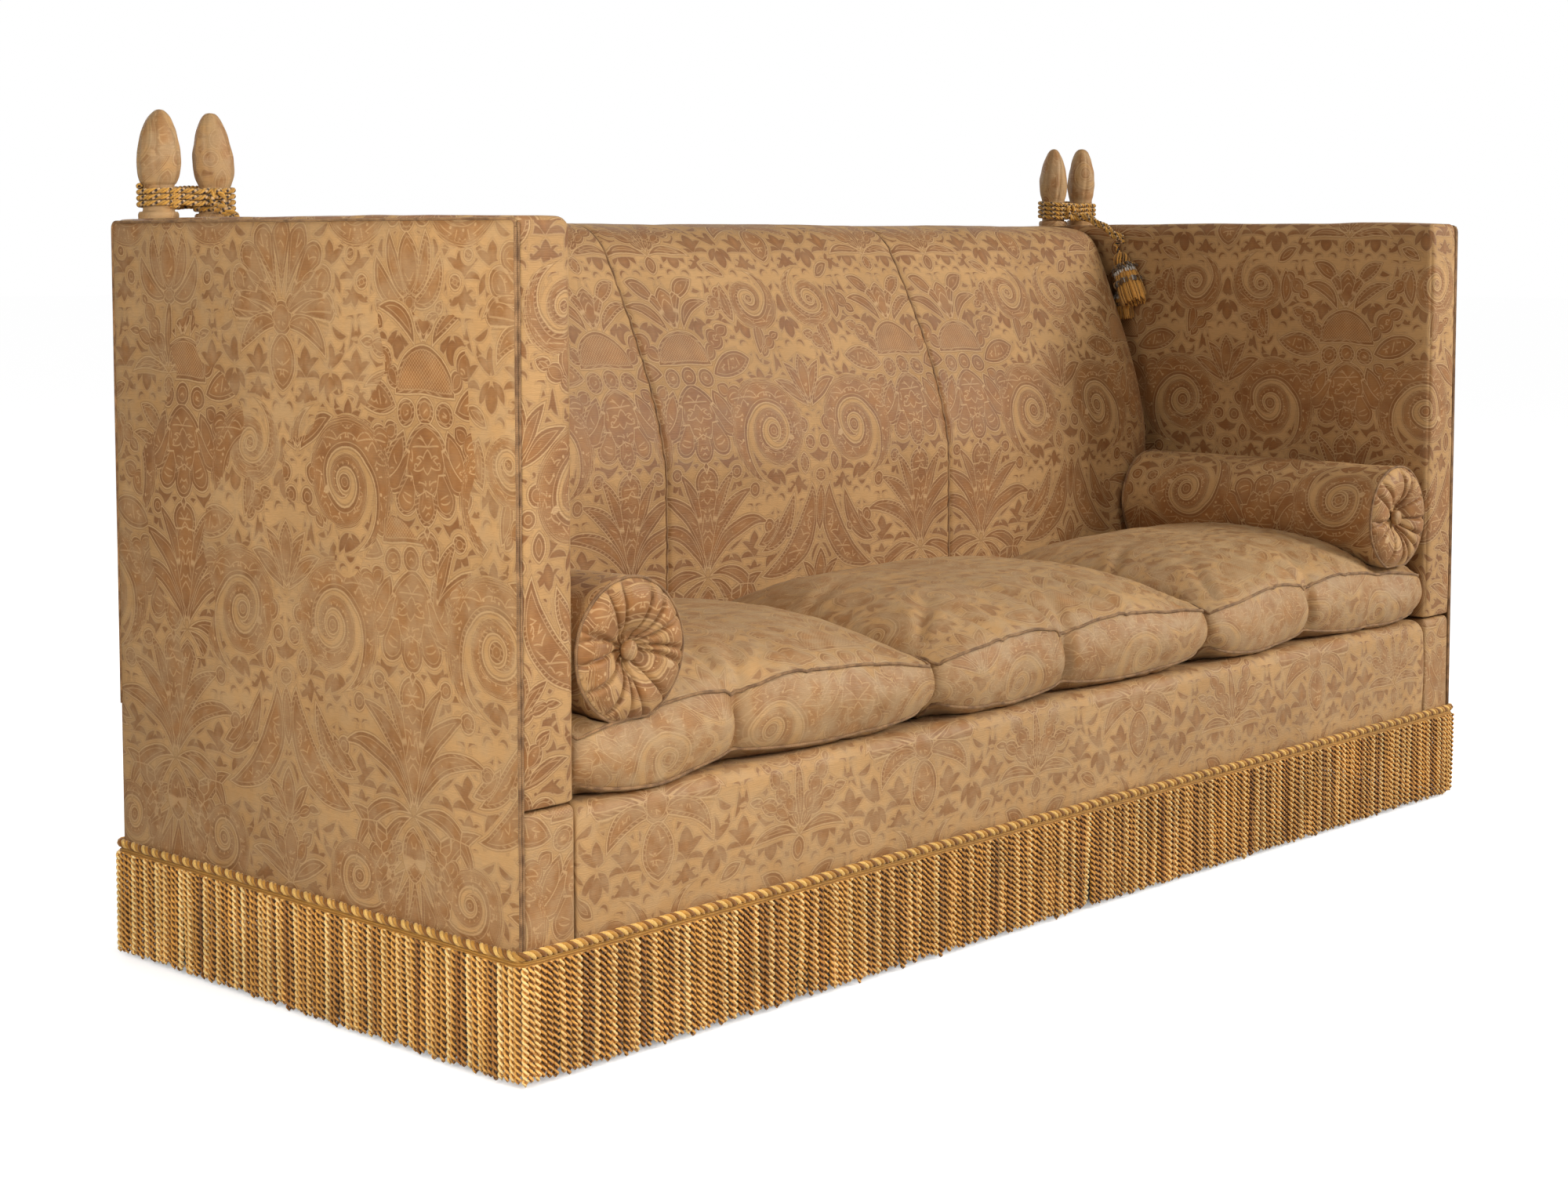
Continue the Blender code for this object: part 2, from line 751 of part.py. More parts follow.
def build_finial(name, x, frame_level, foot_level, parent=None):
    """A covered bud on a neck, with its dowel through the padding to the frame."""
    foot_top = foot_level + finial_foot_height
    neck_top = foot_top + finial_neck_height
    tip = neck_top + finial_body_height
    body_shares = [(0.86, 0.02), (0.98, 0.14), (1.0, 0.28), (0.93, 0.46), (0.78, 0.64), (0.58, 0.82), (0.34, 0.95)]
    profile = [
        (dowel_radius, frame_level + touch_gap),
        (dowel_radius, foot_level),
        (finial_foot_radius, foot_level),
        (finial_foot_radius, foot_top),
        (finial_neck_radius, foot_top + touch_gap),
        (finial_neck_radius, neck_top),
    ]
    profile += [(finial_body_radius * wide, neck_top + finial_body_height * up) for wide, up in body_shares]
    profile += [(0, tip)]
    bm = turned(profile, 16)
    finial = add_object(name, mesh_from(bm, name), damask, smooth_degrees=60)
    finial.location = (x, finial_y, 0)
    if parent is not None:
        finial.parent = parent
        finial.matrix_parent_inverse = Matrix.Translation(-parent.location)


def arm_frame_mesh(side, grow):
    """A ladder of rails and stiles inside an arm, grown all round by a clearance."""
    outer = half_length - side_padding - touch_gap
    front = frame_front
    rear = half_depth - end_padding - touch_gap
    low = arm_bottom + cover_wall + touch_gap
    high = arm_top - arm_top_padding
    member = arm_frame_member
    xs = [outer - arm_frame_thickness - grow, outer + grow]
    ys = [front - grow, front + member + grow, -member / 2 - grow]
    ys += [member / 2 + grow, rear - member - grow, rear + grow]
    zs = [low - grow, low + member + grow, high - member - grow, high + grow]

    def keep(i, j, k):
        return k != 1 or j in (0, 2, 4)

    name = f"{named_side(side)}_arm_frame"
    return mesh_from(cell_solid(xs, ys, zs, keep), name, side)


def build_arm(side):
    """One drop arm: its frame, inside pad, outer panel, moving hinge leaves and finial."""
    word = named_side(side)
    axis = empty(f"{word}_arm_axis", (side * hinge_x, 0, hinge_height))
    add_object(f"{word}_arm_frame", arm_frame_mesh(side, 0), beech, parent=axis)
    frame_high = arm_top - arm_top_padding

    pad_outer = half_length - side_padding - touch_gap
    outline = [(inner_x, arm_bottom)]
    outline += arc((inner_x + arm_top_radius, arm_top - arm_top_radius), arm_top_radius, 180, 90, 6)
    outline += [(pad_outer, arm_top - arm_crown_fall / 2), (pad_outer, arm_bottom)]
    name = f"{word}_arm_pad"
    shape = prism_bmesh(outline, "Y", -half_depth, half_depth)
    pad = add_object(name, mesh_from(shape, name, side), damask, parent=axis, smooth_degrees=40)
    soften(pad, arm_edge)
    boolean(pad, guide("frame_room", arm_frame_mesh(side, touch_gap)))
    boolean(pad, dowel_cutter("arm", side * arm_finial_x, frame_high))
    for place in hinge_places().values():
        boolean(pad, hinge_cutter(side, place, True))

    panel_inner = pad_outer + touch_gap
    radius = outer_corner_radius
    outline = [(panel_inner, arm_bottom)]
    outline += arc((half_length - radius, arm_bottom + radius), radius, 270, 360, 4)
    outline += [
        (half_length, arm_top - side_padding - arm_crown_fall),
        (half_length - side_padding * 0.35, arm_top - side_padding * 0.45),
        (panel_inner, arm_top - arm_crown_fall / 2),
    ]
    name = f"{word}_arm_outer_panel"
    shape = prism_bmesh(outline, "Y", -half_depth, half_depth)
    panel = add_object(name, mesh_from(shape, name, side), damask, parent=axis, smooth_degrees=40)
    soften(panel, side_padding / 4)
    for place in hinge_places().values():
        boolean(panel, hinge_cutter(side, place, True))

    for row, place in hinge_places().items():
        build_hinge(side, row, place, axis)
        build_hinge_pin(side, row, place)
    build_finial(f"{word}_arm_finial", side * arm_finial_x, frame_high, arm_top + touch_gap, axis)


def rope_low():
    """Height of the middle of the lowest rope turn."""
    return max(arm_top, back_top) + finial_foot_height + 2 * touch_gap + rope_radius


def winding_path(side):
    """Turns round the arm's neck and the back's neck together, lowest last, with straight leads."""
    reach = finial_neck_radius + rope_radius + rope_neck_clearance
    points = []
    half_turn = rope_points_a_turn // 2
    total = rope_turns * rope_points_a_turn
    start = half_turn // 2
    for i in range(start, total):
        turn = i / rope_points_a_turn
        step = i % rope_points_a_turn
        centre_x = arm_finial_x if step < half_turn else back_finial_x
        share = (step % half_turn) / (half_turn - 1)
        angle = -math.pi / 2 + math.pi * share + (0 if step < half_turn else math.pi)
        height = rope_low() + rope_turn_pitch * (rope_turns - turn)
        x = centre_x + reach * math.cos(angle)
        points.append((side * x, finial_y + reach * math.sin(angle), height))
    lead_end = Vector(points[-1]) + Vector((side * rope_lead, 0, 0))
    first = Vector(points[0])
    tangent = (first - Vector(points[1])).normalized()
    tangent.z = 0
    lead_start = first + tangent * rope_lead
    return [tuple(lead_start)] + points + [tuple(lead_end)]


def least_gap(points, radius, skip):
    """The least clear distance between parts of a tube that are at least skip points apart."""
    best = math.inf
    vectors = [Vector(point) for point in points]
    for i in range(len(vectors) - 1):
        for j in range(i + skip, len(vectors) - 1):
            for share in (0, 0.5):
                a = vectors[i].lerp(vectors[i + 1], share)
                run = vectors[j + 1] - vectors[j]
                along = max(0, min(1, (a - vectors[j]).dot(run) / run.length_squared))
                best = min(best, (a - vectors[j] - run * along).length)
    return best - 2 * radius


def tube(name, points, look, radius, sides_step, radii=None):
    """A filled tube along points."""
    curve = bpy.data.curves.new(name, "CURVE")
    curve.dimensions = "3D"
    curve.bevel_depth = radius
    curve.bevel_resolution = sides_step
    curve.use_fill_caps = True
    spline = curve.splines.new("POLY")
    spline.points.add(len(points) - 1)
    for i, point in enumerate(points):
        spline.points[i].co = (*point, 1)
        spline.points[i].radius = radii[i] if radii else 1
    return add_object(name, curve, look)


def smooth_route(route, count):
    """Evenly read points of a smooth curve through a route's own points."""
    points = [Vector(point) for point in route]
    padded = [points[0] * 2 - points[1]] + points + [points[-1] * 2 - points[-2]]
    read = []
    spans = len(points) - 1
    for i in range(count):
        at = spans * i / (count - 1)
        k = min(int(at), spans - 1)
        t = at - k
        a, b, c, d = padded[k:k + 4]
        place = b * 2 + (c - a) * t + (a * 2 - b * 5 + c * 4 - d) * t * t + (b * 3 - a - c * 3 + d) * t ** 3
        read.append(tuple(place / 2))
    return read


# The rope's tail on the right, in metres from the start of the tail, chosen by hand
tail_route = (
    (0.0000, 0.0000, 0.0000),
    (0.0090, -0.0010, -0.0004),
    (0.0170, -0.0080, -0.0010),
    (0.0215, -0.0220, -0.0020),
    (0.0230, -0.0420, -0.0060),
    (0.0230, -0.0640, -0.0150),
    (0.0225, -0.0870, -0.0270),
    (0.0215, -0.1090, -0.0390),
    (0.0205, -0.1290, -0.0500),
)


def build_rope(side):
    """The rope round both necks, its tail and knot, and two tassels in the corner of the seat."""
    word = named_side(side)
    path = winding_path(side)
    tube(f"{word}_rope_winding", path, rope_cord, rope_radius, 1)
    gap = least_gap(path, rope_radius, rope_points_a_turn // 2)
    print(f"{word} rope: least gap to itself {gap * 1000:.2f} mm")
    start = Vector(path[-1]) + Vector((side * touch_gap, 0, 0))
    route = [start + Vector((side * x, y, z)) for x, y, z in tail_route]
    points = smooth_route(route, 22)
    swell = knot_radius / rope_radius
    radii = [1.0] * (len(points) - 4) + [0.55 * swell, swell, swell, 0.55 * swell]
    tube(f"{word}_rope_tail", points, rope_cord, rope_radius, 4, radii)
    run = (Vector(points[-2]) - Vector(points[-3])).normalized()
    knot = (Vector(points[-2]) + Vector(points[-3])) / 2
    under = (run * run.z - Vector((0, 0, 1))).normalized()
    crown = knot + under * (knot_radius + tassel_crown_radius + touch_gap / 3)
    build_tassels(f"{word}_tassels", crown, side)


def tassel_bmesh(top, bottom, size):
    """A turned head, a waist and a full skirt on a thin stem, hung from top to bottom."""
    length = (bottom - top).length
    skirt = tassel_skirt_length * size
    head = tassel_head_radius * size
    full = tassel_skirt_radius * size
    skirt_top = length - skirt
    profile = [
        (0, length),
        (full * 0.55, length - skirt * 0.02),
        (full * 0.95, length - skirt * 0.12),
        (full, length - skirt * 0.35),
        (full * 0.85, length - skirt * 0.75),
        (full * 0.72, skirt_top),
        (tassel_waist_radius * size, skirt_top - head * 0.25),
        (head, skirt_top - head),
        (head * 0.8, skirt_top - head * 1.9),
        (tassel_stem_radius, skirt_top - head * 2.3),
        (tassel_stem_radius, 0),
    ]
    bm = turned(profile, 12)
    turn = Vector((0, 0, 1)).rotation_difference((bottom - top).normalized())
    bmesh.ops.rotate(bm, verts=bm.verts, matrix=turn.to_matrix())
    bmesh.ops.translate(bm, verts=bm.verts, vec=top)
    return bm


def build_tassels(name, crown, side):
    """Two tassels on one short cord, whose small knot sits under the end of the rope."""
    bm = bmesh.new()
    bmesh.ops.create_icosphere(bm, subdivisions=2, radius=tassel_crown_radius)
    bmesh.ops.translate(bm, verts=bm.verts, vec=crown)
    pair = add_object(name, mesh_from(bm, name), tassel_silk, smooth_degrees=60)
    for (across, forward, down), size in ((upper_tassel_hang, 1.0), (lower_tassel_hang, lower_tassel_share)):
        bottom = crown + Vector((side * across, forward, down))
        top = crown.lerp(bottom, tassel_stem_radius / (crown - bottom).length)
        shape = tassel_bmesh(top, bottom, size)
        boolean(pair, guide(name + "_one", mesh_from(shape, name + "_one")), "UNION")


def bolster_place(side):
    height = right_bolster_height if side > 0 else left_bolster_height
    return side * (inner_x - cushion_gap - bolster_radius), seat_level + height


def build_cushion(name, low_x, high_x, bolster_side, parent):
    """A feather cushion: flat below, boxed and piped sides drawn in between the corners, crowned above."""
    middle_x = (low_x + high_x) / 2
    half_x = (high_x - low_x) / 2
    front = -half_depth
    half_y = (sofa_depth - back_seat_thickness - cushion_back_gap) / 2
    middle_y = front + half_y
    shares = [-1, -0.93, -0.78, -0.55, -0.28, 0, 0.28, 0.55, 0.78, 0.93, 1]
    xs = [middle_x + half_x * share for share in shares]
    dip_radius = bolster_radius + bolster_dip_clearance
    flat_drop = math.sqrt(bolster_radius ** 2 - bolster_flat_half_width ** 2)
    if bolster_side:
        bolster_x, bolster_z = bolster_place(bolster_side)
        dip_shares = (-0.83, -0.59, 0.59, 0.83)
        near = [bolster_x + bolster_radius * share for share in dip_shares]
        near += [bolster_x + bolster_flat_half_width * end for end in (-1, 0, 1)]
        far = [x for x in xs if abs(x - bolster_x) > bolster_radius or x in (low_x, high_x)]
        xs = sorted(set(far + near))
    v_shares = [-1, -0.93, -0.78, -0.5, -0.18, 0.18, 0.5, 0.78, 0.93, 1]
    ys = [middle_y + half_y * share for share in v_shares]

    def plan(x, y, inset=0.0):
        u = (x - middle_x) / half_x
        v = (y - middle_y) / half_y
        beside_bolster = bolster_side * u > 0
        pull_x = 0 if beside_bolster else cushion_draw_in * abs(u) ** 3 * (1 - v * v)
        pull_y = cushion_draw_in * abs(v) ** 3 * (1 - u * u)
        new_x = x - math.copysign(pull_x, u) - inset * u
        new_y = y - math.copysign(pull_y, v) - inset * v
        return new_x, new_y

    def top_height(x, y):
        u = (x - middle_x) / half_x
        v = (y - middle_y) / half_y
        rise = cushion_side_rise * (1 - u * u * v * v)
        crown = cushion_crown * (1 - u ** 4) * (1 - abs(v) ** 3)
        height = cushion_bottom + cushion_corner_height + rise + crown
        if bolster_side:
            away = abs(x - bolster_x)
            if away <= bolster_flat_half_width * 1.001:
                height = min(height, bolster_z - flat_drop - touch_gap)
            elif away < dip_radius:
                height = min(height, bolster_z - math.sqrt(dip_radius ** 2 - away ** 2))
        return height

    def bottom_height(x, y):
        u = abs((x - middle_x) / half_x)
        v = abs((y - middle_y) / half_y)
        near_edge = max(u, v)
        return cushion_bottom + cushion_bottom_lift * max(0, (near_edge - 0.93) / 0.07)

    bm = bmesh.new()
    grids = []
    for level in (bottom_height, top_height):
        grid = []
        for x in xs:
            column = []
            for y in ys:
                place = plan(x, y, cushion_edge_inset if level is bottom_height else 0)
                column.append(bm.verts.new((*place, level(x, y))))
            grid.append(column)
        grids.append(grid)
        for i in range(len(xs) - 1):
            for j in range(len(ys) - 1):
                bm.faces.new((grid[i][j], grid[i + 1][j], grid[i + 1][j + 1], grid[i][j + 1]))
    rim = [(i, 0) for i in range(len(xs))] + [(len(xs) - 1, j) for j in range(1, len(ys))]
    rim += [(i, len(ys) - 1) for i in range(len(xs) - 2, -1, -1)] + [(0, j) for j in range(len(ys) - 2, 0, -1)]
    bulged = []
    for i, j in rim:
        low = grids[0][i][j].co
        high = grids[1][i][j].co
        middle = (low + high) / 2
        if j == 0:
            u = (xs[i] - middle_x) / half_x
            middle.y -= cushion_front_bulge * (1 - u * u)
        bulged.append(bm.verts.new(middle))
    count = len(rim)
    for index in range(count):
        after = (index + 1) % count
        a, b = rim[index], rim[after]
        bm.faces.new((grids[0][a[0]][a[1]], grids[0][b[0]][b[1]], bulged[after], bulged[index]))
        bm.faces.new((bulged[index], bulged[after], grids[1][b[0]][b[1]], grids[1][a[0]][a[1]]))
    add_object(name, mesh_from(bm, name), damask, parent=parent, smooth_degrees=50)


def build_cushions():
    """Three equal cushions across the seat."""
    reach = inner_x - cushion_gap
    width = (2 * reach - 2 * cushion_gap) / 3
    for i, (word, side) in enumerate((("left", -1), ("middle", 0), ("right", 1))):
        low_x = -reach + i * (width + cushion_gap)
        lift = empty(f"{word}_cushion_lift", (low_x + width / 2, 0, cushion_bottom))
        build_cushion(f"{word}_cushion", low_x, low_x + width, side, lift)


def bolster_outline():
    """The bolster's round section with its underside flattened by its weight."""
    start = math.degrees(math.asin(bolster_flat_half_width / bolster_radius))
    return arc((0, 0), 1, 270 + start, 630 - start, bolster_sides - 1)


def build_bolster(side):
    """A round bolster with gathered, buttoned ends, lying from front to back on its cushion."""
    word = named_side(side)
    x, z = bolster_place(side)
    lift = empty(f"{word}_bolster_lift", (x, 0, z))
    front = -half_depth + bolster_setback + bolster_end_bulge + pleat_depth
    rear = back_front_y - bolster_back_gap - bolster_end_bulge - pleat_depth
    outline = bolster_outline()
    seat = button_radius / bolster_radius
    end_shares = [(1.0, 0.0, 0.0), (0.93, 0.45, 0.3), (0.70, 0.95, 1.0), (0.42, 0.80, 1.0), (seat, 0.30, 0.0)]

    def ring(wide, out, pleat, end, outward):
        points = []
        for i, (a, b) in enumerate(outline):
            fold = pleat_depth * pleat * (1 if i % 2 else -1)
            y = end + outward * (bolster_end_bulge * out + fold)
            points.append((x + bolster_radius * wide * a, y, z + bolster_radius * wide * b))
        return points

    rings = [ring(*shares, front, -1) for shares in reversed(end_shares)]
    rings += [ring(*shares, rear, 1) for shares in end_shares]
    name = f"{word}_bolster"
    add_object(name, mesh_from(ring_loft(rings), name), damask, parent=lift, smooth_degrees=50)

    sink = bolster_end_bulge * end_shares[-1][1] + touch_gap
    for row, end, outward in (("front", front, -1), ("rear", rear, 1)):
        profile = [(button_radius * 0.8, 0), (button_radius, button_thickness * 0.4),
                   (button_radius * 0.7, button_thickness * 0.9), (0, button_thickness)]
        bm = turned(profile, 14)
        bmesh.ops.rotate(bm, verts=bm.verts, matrix=Matrix.Rotation(-outward * math.pi / 2, 3, "X"))
        bmesh.ops.translate(bm, verts=bm.verts, vec=(x, end + outward * sink, z))
        name = f"{word}_bolster_{row}_button"
        add_object(name, mesh_from(bm, name), damask, parent=lift, smooth_degrees=50)


def build_heading():
    """The cord and band round the base, over the top of the fringe."""
    low = heading_top - heading_height
    section_shares = [(0, 0), (0.80, 0), (0.80, 0.30), (1.0, 0.42), (1.0, 0.80), (0.72, 1.0), (0, 1.0)]
    rings = []
    corner = cover_edge
    square = ((1, -1, -90), (1, 1, 0), (-1, 1, 90), (-1, -1, 180))
    for side_x, side_y, start in square:
        centre = (side_x * (half_length - corner), side_y * (half_depth - corner))
        for step in range(4):
            turn = math.radians(start + 30 * step)
            ring = []
            for out, up in section_shares:
                reach = corner + touch_gap + heading_depth * out
                ring.append((centre[0] + reach * math.cos(turn), centre[1] + reach * math.sin(turn),
                             low + heading_height * up))
            rings.append(ring)
    bm = bmesh.new()
    made = [[bm.verts.new(point) for point in ring] for ring in rings]
    count = len(section_shares)
    for k in range(len(made)):
        a, b = made[k], made[(k + 1) % len(made)]
        for i in range(count):
            j = (i + 1) % count
            bm.faces.new((a[i], a[j], b[j], b[i]))
    add_object("fringe_heading", mesh_from(bm, "fringe_heading"), gold_cord, smooth_degrees=50)


def build_fringe():
    """One hanging skirt a side, ribbed by its groups of cords, with a slit at each corner."""
    top = heading_top - heading_height - touch_gap
    inner = touch_gap + fringe_stand_off
    outer = inner + fringe_thickness
    reach_x = half_length + outer
    reach_y = half_depth + inner
    walls = {
        "front_fringe": ((-reach_x, -half_depth), (1, 0), (0, -1), 2 * reach_x),
        "back_fringe": ((reach_x, half_depth), (-1, 0), (0, 1), 2 * reach_x),
        "right_fringe": ((half_length, -reach_y), (0, 1), (1, 0), 2 * reach_y),
        "left_fringe": ((-half_length, reach_y), (0, -1), (-1, 0), 2 * reach_y),
    }
    for name, (start, along, out, length) in walls.items():
        begin = fringe_slit
        end = length - fringe_slit
        ribs = max(1, round((end - begin) / fringe_rib_pitch))

        def at(distance, offset):
            return (start[0] + along[0] * distance + out[0] * offset, start[1] + along[1] * distance + out[1] * offset)

        outline = [at(begin, inner)]
        for i in range(2 * ribs + 1):
            depth = outer if i % 2 else outer - fringe_rib_depth
            outline.append(at(begin + (end - begin) * i / (2 * ribs), depth))
        outline.append(at(end, inner))
        shape = prism_bmesh(outline, "Z", fringe_floor_gap, top)
        add_object(name, mesh_from(shape, name), gold_cord, smooth_degrees=50)


build_base_frame()
build_feet()
build_webbing()
build_dust_cover()
build_platform()
build_front_rail_cover()
build_back_frame()
build_back_pad()
build_outside_back()
build_heading()
build_fringe()
build_cushions()
for side in (-1, 1):
    build_side_base_cover(side)
    build_finial(f"{named_side(side)}_back_finial", side * back_finial_x, back_frame_top, back_top)
    build_arm(side)
    build_rope(side)
    build_bolster(side)
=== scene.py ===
"""Look of a full-length knole sofa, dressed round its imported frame.

Metres, +Z up. The sofa faces -Y, its length runs along X, and the origin is on the floor under its
middle. The pieces of the arms are drawn on the right-hand side, and mirrored for the left.
"""
import json
import math

import bmesh
import bpy
import numpy as np
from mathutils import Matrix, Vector, noise


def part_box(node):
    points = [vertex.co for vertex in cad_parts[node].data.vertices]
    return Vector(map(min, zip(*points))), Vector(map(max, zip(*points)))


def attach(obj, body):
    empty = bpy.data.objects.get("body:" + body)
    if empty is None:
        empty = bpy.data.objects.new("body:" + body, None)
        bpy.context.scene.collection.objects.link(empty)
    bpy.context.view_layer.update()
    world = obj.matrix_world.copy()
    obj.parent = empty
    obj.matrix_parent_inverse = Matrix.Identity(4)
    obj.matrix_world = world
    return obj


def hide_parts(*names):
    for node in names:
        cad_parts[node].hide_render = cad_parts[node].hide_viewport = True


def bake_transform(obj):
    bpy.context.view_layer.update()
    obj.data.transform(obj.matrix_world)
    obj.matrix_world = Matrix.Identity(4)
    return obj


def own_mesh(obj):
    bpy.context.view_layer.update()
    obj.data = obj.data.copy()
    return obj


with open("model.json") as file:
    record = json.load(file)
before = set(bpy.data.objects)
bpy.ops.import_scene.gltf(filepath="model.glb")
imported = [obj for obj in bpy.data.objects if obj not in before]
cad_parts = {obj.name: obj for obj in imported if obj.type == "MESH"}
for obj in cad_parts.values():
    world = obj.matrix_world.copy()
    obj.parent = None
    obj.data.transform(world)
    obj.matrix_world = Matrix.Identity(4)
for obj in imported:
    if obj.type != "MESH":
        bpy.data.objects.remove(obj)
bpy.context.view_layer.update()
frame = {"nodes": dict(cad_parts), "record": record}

# Sizes that the frame has too
half_length = 1.157
half_depth = 0.44
inner_x = 1.064
hinge_height = 0.344
seat_level = 0.3422
base_top = 0.3425
arm_bottom = 0.3455
arm_top = 1.077
back_top = 1.075
back_end_x = 1.0615
back_front_y = 0.12
back_frame_rear = 0.4297
back_frame_top = 1.033
back_lean = 0.17
back_straight_top = 0.6622
hem_height = 0.118
rail_top = 0.245
frame_front = -0.4247
front_roll_depth = 0.06
front_roll_radius = 0.024
finial_y = 0.392
arm_finial_x = 1.1105
back_finial_x = 1.015
seam_x = inner_x / 3
outer_panel_x = 0.708
bolster_x = 0.965
bolster_radius = 0.096
bolster_height = {-1: 0.5252, 1: 0.5412}
heading_top = 0.174
touch_gap = 0.0003

# Cloth
weld_distance = 0.00002
cloth_thickness = 0.0014
cloth_out = 0.0003
welt_radius = 0.002
piping_radius = 0.0023

# Cord
strand_fullness = 1.06
dark_and_pale = (0.5, 0.5, 1.0, 1.0)


def side_word(side):
    return "right" if side > 0 else "left"


# Mesh work

def unit(vectors):
    return vectors / np.maximum(np.linalg.norm(vectors, axis=-1, keepdims=True), 1e-12)


def wander(points, size, seed=0.0):
    """Smooth noise from about -1 to 1 at each point, with lumps about size metres across."""
    flat = (np.asarray(points, float).reshape(-1, 3) / size + seed).tolist()
    return np.array([noise.noise(place) for place in flat]).reshape(np.shape(points)[:-1])


def eased(values):
    """A smooth step from 0 to 1."""
    share = np.clip(values, 0, 1)
    return share * share * (3 - 2 * share)


def smooth_path(route, count):
    """Evenly read points of a smooth curve through a route's own points."""
    points = np.asarray(route, float)
    padded = np.concatenate([[2 * points[0] - points[1]], points, [2 * points[-1] - points[-2]]])
    at = np.linspace(0, len(points) - 1, count)
    k = np.minimum(at.astype(int), len(points) - 2)
    t = (at - k)[:, None]
    a, b, c, d = (padded[k + i] for i in range(4))
    return (2 * b + (c - a) * t + (2 * a - 5 * b + 4 * c - d) * t ** 2 + (3 * b - a - 3 * c + d) * t ** 3) / 2


def ring_angles(count):
    return 2 * np.pi * np.arange(count) / count


def angles_apart(first, second):
    """How far apart two angles are, the short way round."""
    return np.abs((first - second + np.pi) % (2 * np.pi) - np.pi)


def joined_round(grid):
    """A grid with its first column again after its last."""
    return np.concatenate([grid, grid[:, :1]], axis=1)


def run_lengths(points):
    steps = np.linalg.norm(np.diff(points, axis=0), axis=1)
    return np.concatenate([[0], np.cumsum(steps)])


def even_path(points, step):
    """The same path with its points a step apart."""
    points = np.asarray(points, float)
    run = run_lengths(points)
    places = np.linspace(0, run[-1], max(2, round(run[-1] / step) + 1))
    return np.stack([np.interp(places, run, points[:, i]) for i in range(3)], axis=1)


def path_frames(points, closed=False):
    """Two directions across a path at each of its points, carried along without twisting."""
    if closed:
        ahead = np.roll(points, -1, axis=0) - np.roll(points, 1, axis=0)
    else:
        ahead = np.gradient(points, axis=0)
    ahead = unit(ahead)
    start = np.array((0.0, 0.0, 1.0)) if abs(ahead[0][2]) < 0.9 else np.array((1.0, 0.0, 0.0))
    across, last = [], start
    for direction in ahead:
        last = unit(last - direction * np.dot(last, direction))
        across.append(last)
    across = np.array(across)
    return across, np.cross(ahead, across)


